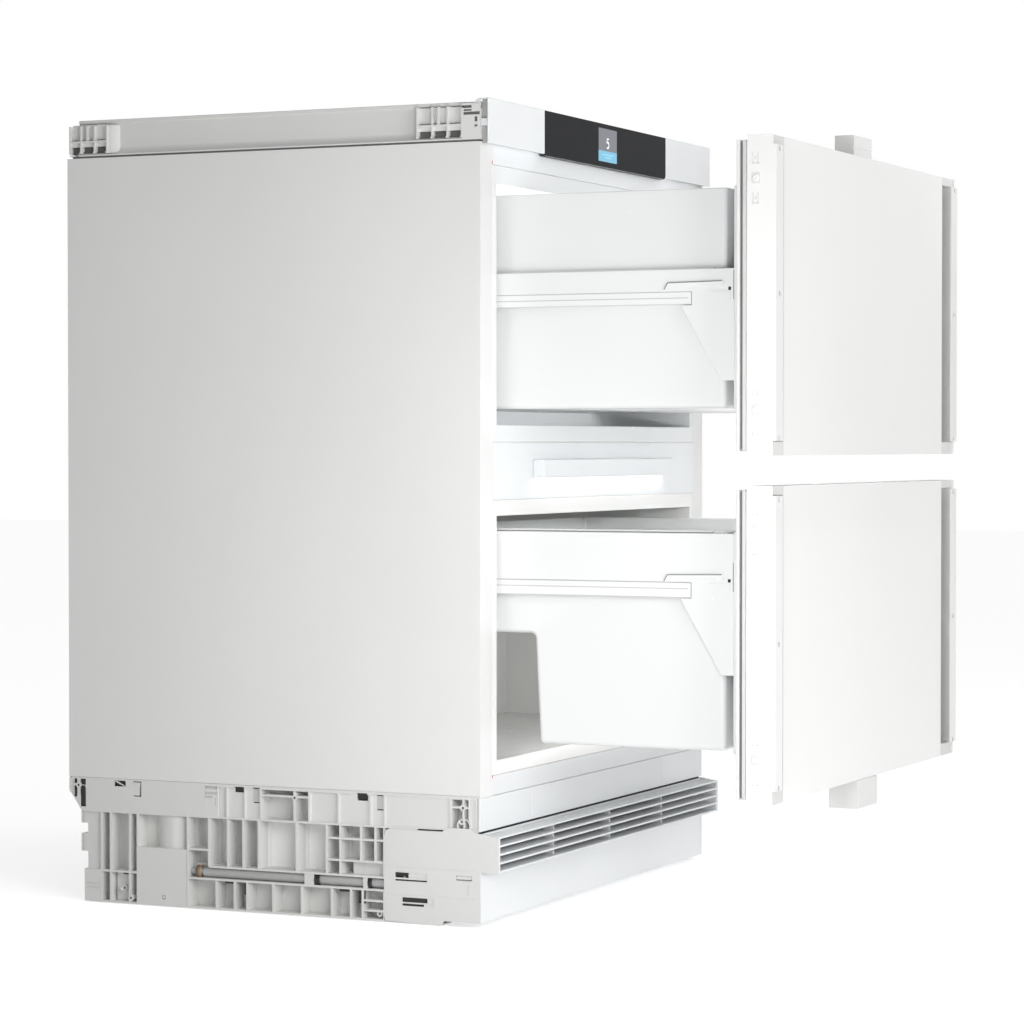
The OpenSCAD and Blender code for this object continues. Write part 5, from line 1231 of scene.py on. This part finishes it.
class REFRIGERATOR_OT_drawers(bpy.types.Operator):
    """Side frames with their gussets, catch levers, and rails"""

    bl_idname = "refrigerator.drawers"
    bl_label = "Drawers"

    def execute(self, context):
        line_grey = moulded_abs("edge_shade_abs", "#77797a", "#6f7172")
        for level, lever_drop in zip(LEVELS, LEVER_DROPS):
            soft_copy(f"{level}_side_frames", 0.8)
            soft_copy(f"{level}_mid_rails", 0.3)
            lo, hi = span(f"{level}_side_frames")
            rail_lo, rail_hi = span(f"{level}_drawer_rails")
            band = rail_hi[2] - RAIL_HEIGHT
            stay = rail_lo[1] + STAY_PLACE
            body = f"{level}_drawer"
            gussets, slots, lines, shades, levers, levers_off = [], [], [], [], [], []
            lever_at = (stay - LEVER_MIDDLE, band - lever_drop)
            for side in (-1, 1):
                x = side * RAIL_FACE
                # thin grey lines along each rail's face: painted shade of the steps between its profiles
                for z, y0, high in ((band - 0.6, 1, 0.5), (band - 6.5, 3.2, 0.9),
                                    (rail_lo[2] + 0.1, 1, 0.5)):
                    lines.append(slab((x - 0.12, stay + y0, z), (x + 0.12, rail_hi[1] - 1, z + high)))
                near, far = sorted((x + 0.1 * side, x + 3 * side))
                levers_off.append(slab((near, *(rail_lo[1:] - 1)), (far, *(rail_hi[1:] + 1))))
                levers.append(loft([along_x(LEVER + lever_at, x + side * d) for d in (0.2, 1.7)]))
                shades.append(loft([along_x(LEVER_EDGE + lever_at, x + side * d) for d in (0.3, 1.85)]))
                shades.append(slab((x - 0.25, lo[1] + 0.2, band - 8), (x + 0.25, lo[1] + 1, band + 20)))
                x = side * hi[0]
                outline = np.array([(lo[1] + 26, band - 0.4), (lo[1] + 4, band - 0.4), (lo[1] + 4, band - 9)])
                gussets.append(loft([along_x(outline, x - side * 0.5), along_x(outline, x + side * 0.9)]))
                # a black patch on the frame's face: the painted shadow of a slot
                slots.append(slab((x - 0.3, lo[1] + 3.4, band + 0.8), (x + 0.3, lo[1] + 6.2, band + 4)))
            mesh_piece(f"{level}_frame_gussets", *joined(gussets), "bin_plastic", body)
            mesh_piece(f"{level}_frame_slots", *joined(slots), "bin_plastic", body,
                       material=FINISH["shadow"])
            soft_copy(f"{level}_drawer_rails", 0.3, material=FINISH["pale_runner"], cuts=levers_off)
            mesh_piece(f"{level}_catch_levers", *joined(levers), "runner_steel", body,
                       material=FINISH["pale_runner"])
            mesh_piece(f"{level}_rail_shade_lines", *joined(lines), "runner_steel", body,
                       material=FINISH["groove"])
            mesh_piece(f"{level}_lever_edges", *joined(shades), "runner_steel", body, material=line_grey)
        soft_copy("cabinet_rails", 0.3)
        return {"FINISHED"}


# ---------------------------------------------------------------- cooling

class REFRIGERATOR_OT_cooling(bpy.types.Operator):
    """Compressor, condenser, fan frames, drip tray and mains inlet"""

    bl_idname = "refrigerator.cooling"
    bl_label = "Cooling"

    def execute(self, context):
        for node, radius in (("compressor", 1.0), ("compressor_mounts", 0.5), ("condenser", 0),
                             ("fan_frame", 0.5), ("drip_tray", 0.8), ("mains_inlet", 0.5),
                             ("air_fan_frame", 1.0)):
            soft_copy(node, radius)
        return {"FINISHED"}


class REFRIGERATOR_OT_fans(bpy.types.Operator):
    """Fan rotors with curved blades

    A blade is a grid over radius and chord. Its chord turns from steep at the hub to flat at the tip
    and is bowed by a parabola; the tip sweeps forward.
    """

    bl_idname = "refrigerator.fans"
    bl_label = "Fan rotors"

    blades: bpy.props.IntProperty(name="Blades", description="Blades of each rotor", default=7, min=3, max=9)

    def execute(self, context):
        for node, hub in (("condenser_fan_rotor", 14), ("air_fan_rotor", 12)):
            lo, hi = span(node)
            middle = (lo + hi) / 2
            radius = (hi[0] - lo[0]) / 2 - 0.5
            depth = hub * 1.1
            place = np.array([middle[0], lo[1], middle[2]])
            parts = [turned([(0, 0), (hub - 2.5, 0), (hub - 0.7, 0.7), (hub, 2.5), (hub, depth), (0, depth)],
                            place, (0, 1, 0), 40),
                     turned([(0, 0.1), (3, 0.1), (3, hi[1] - lo[1] - 0.4), (2.6, hi[1] - lo[1]),
                             (0, hi[1] - lo[1])], place, (0, 1, 0), 20)]
            u, v = np.meshgrid(np.linspace(0, 1, 13), np.linspace(-0.5, 0.5, 11), indexing="ij")
            r = hub - 1 + u * (radius - hub + 1)
            pitch = np.radians(52 - 26 * u)
            chord = 15 + 9 * u
            swing = np.radians(14) * u ** 2 + v * chord * np.cos(pitch) / r
            rise = depth / 2 + v * chord * np.sin(pitch) * 0.62 + 1.6 * (1 - 4 * v ** 2)
            for k in range(self.blades):
                angle = swing + k * 2 * np.pi / self.blades
                skins = [np.stack([r * np.cos(angle), rise + lift, r * np.sin(angle)], -1) + place
                         for lift in (0, 1.3)]
                outline = [np.concatenate([skin[:, 0], skin[-1, 1:], skin[-2::-1, -1], skin[0, -2:0:-1]])
                           for skin in skins]
                parts += [loft(skins[0], closed=False, caps=False),
                          loft(skins[1], closed=False, caps=False), loft(outline, caps=False)]
            mesh_piece(f"{node}_bladed", *joined(parts), SLOT_OF[node], BODY_OF[node], [node], 30)
        return {"FINISHED"}


class REFRIGERATOR_OT_pipes(bpy.types.Operator):
    """Copper pipes from the compressor's stubs to the condenser"""

    bl_idname = "refrigerator.pipes"
    bl_label = "Pipes"

    def execute(self, context):
        copper = mill_aluminium("drawn_copper", "#c98a5e")
        can_lo, can_hi = span("compressor")
        fin_lo, fin_hi = span("condenser")
        x, y = (can_lo[0] + can_hi[0]) / 2, can_lo[1]
        end = (fin_lo[0] + 1, fin_hi[1] - 17)
        runs = []
        for dx, z0, z1, radius in ((20, can_lo[2] + 44, fin_hi[2] - 14, 2.4),
                                   (-20, can_lo[2] + 103, fin_lo[2] + 18, 2.8)):
            bend = fillet([(x + dx, y + 4, z0), (x + dx, y - 50, z0), (end[0] - 22, y - 50, z0),
                           (end[0] - 22, end[1], z0), (end[0] - 22, end[1], z1), (end[0], end[1], z1)],
                          12, 8, closed=False)
            runs.append(tube(bend, radius))
        mesh_piece("copper_pipes", *joined(runs), "bare_aluminium", "cabinet", material=copper)
        return {"FINISHED"}


OPERATORS = (REFRIGERATOR_OT_stage, REFRIGERATOR_OT_cabinet, REFRIGERATOR_OT_back,
             REFRIGERATOR_OT_trims, REFRIGERATOR_OT_top, REFRIGERATOR_OT_controls,
             REFRIGERATOR_OT_base, REFRIGERATOR_OT_seals, REFRIGERATOR_OT_fronts,
             REFRIGERATOR_OT_bins, REFRIGERATOR_OT_drawers, REFRIGERATOR_OT_cooling,
             REFRIGERATOR_OT_fans, REFRIGERATOR_OT_pipes)


class REFRIGERATOR_PT_panel(bpy.types.Panel):
    """Lists the settings and the pieces"""

    bl_label = "Refrigerator"
    bl_space_type = "VIEW_3D"
    bl_region_type = "UI"
    bl_category = "Refrigerator"

    def draw(self, context):
        for key in RefrigeratorLooks.__annotations__:
            self.layout.prop(context.scene.refrigerator_looks, key)
        for operator in OPERATORS:
            self.layout.operator(operator.bl_idname)


def register():
    for cls in (RefrigeratorLooks, *OPERATORS, REFRIGERATOR_PT_panel):
        bpy.utils.register_class(cls)
    bpy.types.Scene.refrigerator_looks = bpy.props.PointerProperty(type=RefrigeratorLooks)


def unregister():
    del bpy.types.Scene.refrigerator_looks
    for cls in (REFRIGERATOR_PT_panel, *reversed(OPERATORS), RefrigeratorLooks):
        bpy.utils.unregister_class(cls)


def main():
    """Builds every piece."""
    register()
    make_finishes(looks())
    for operator in OPERATORS:
        getattr(bpy.ops.refrigerator, operator.bl_idname.split(".")[1])()


if __name__ == "__main__":
    main()
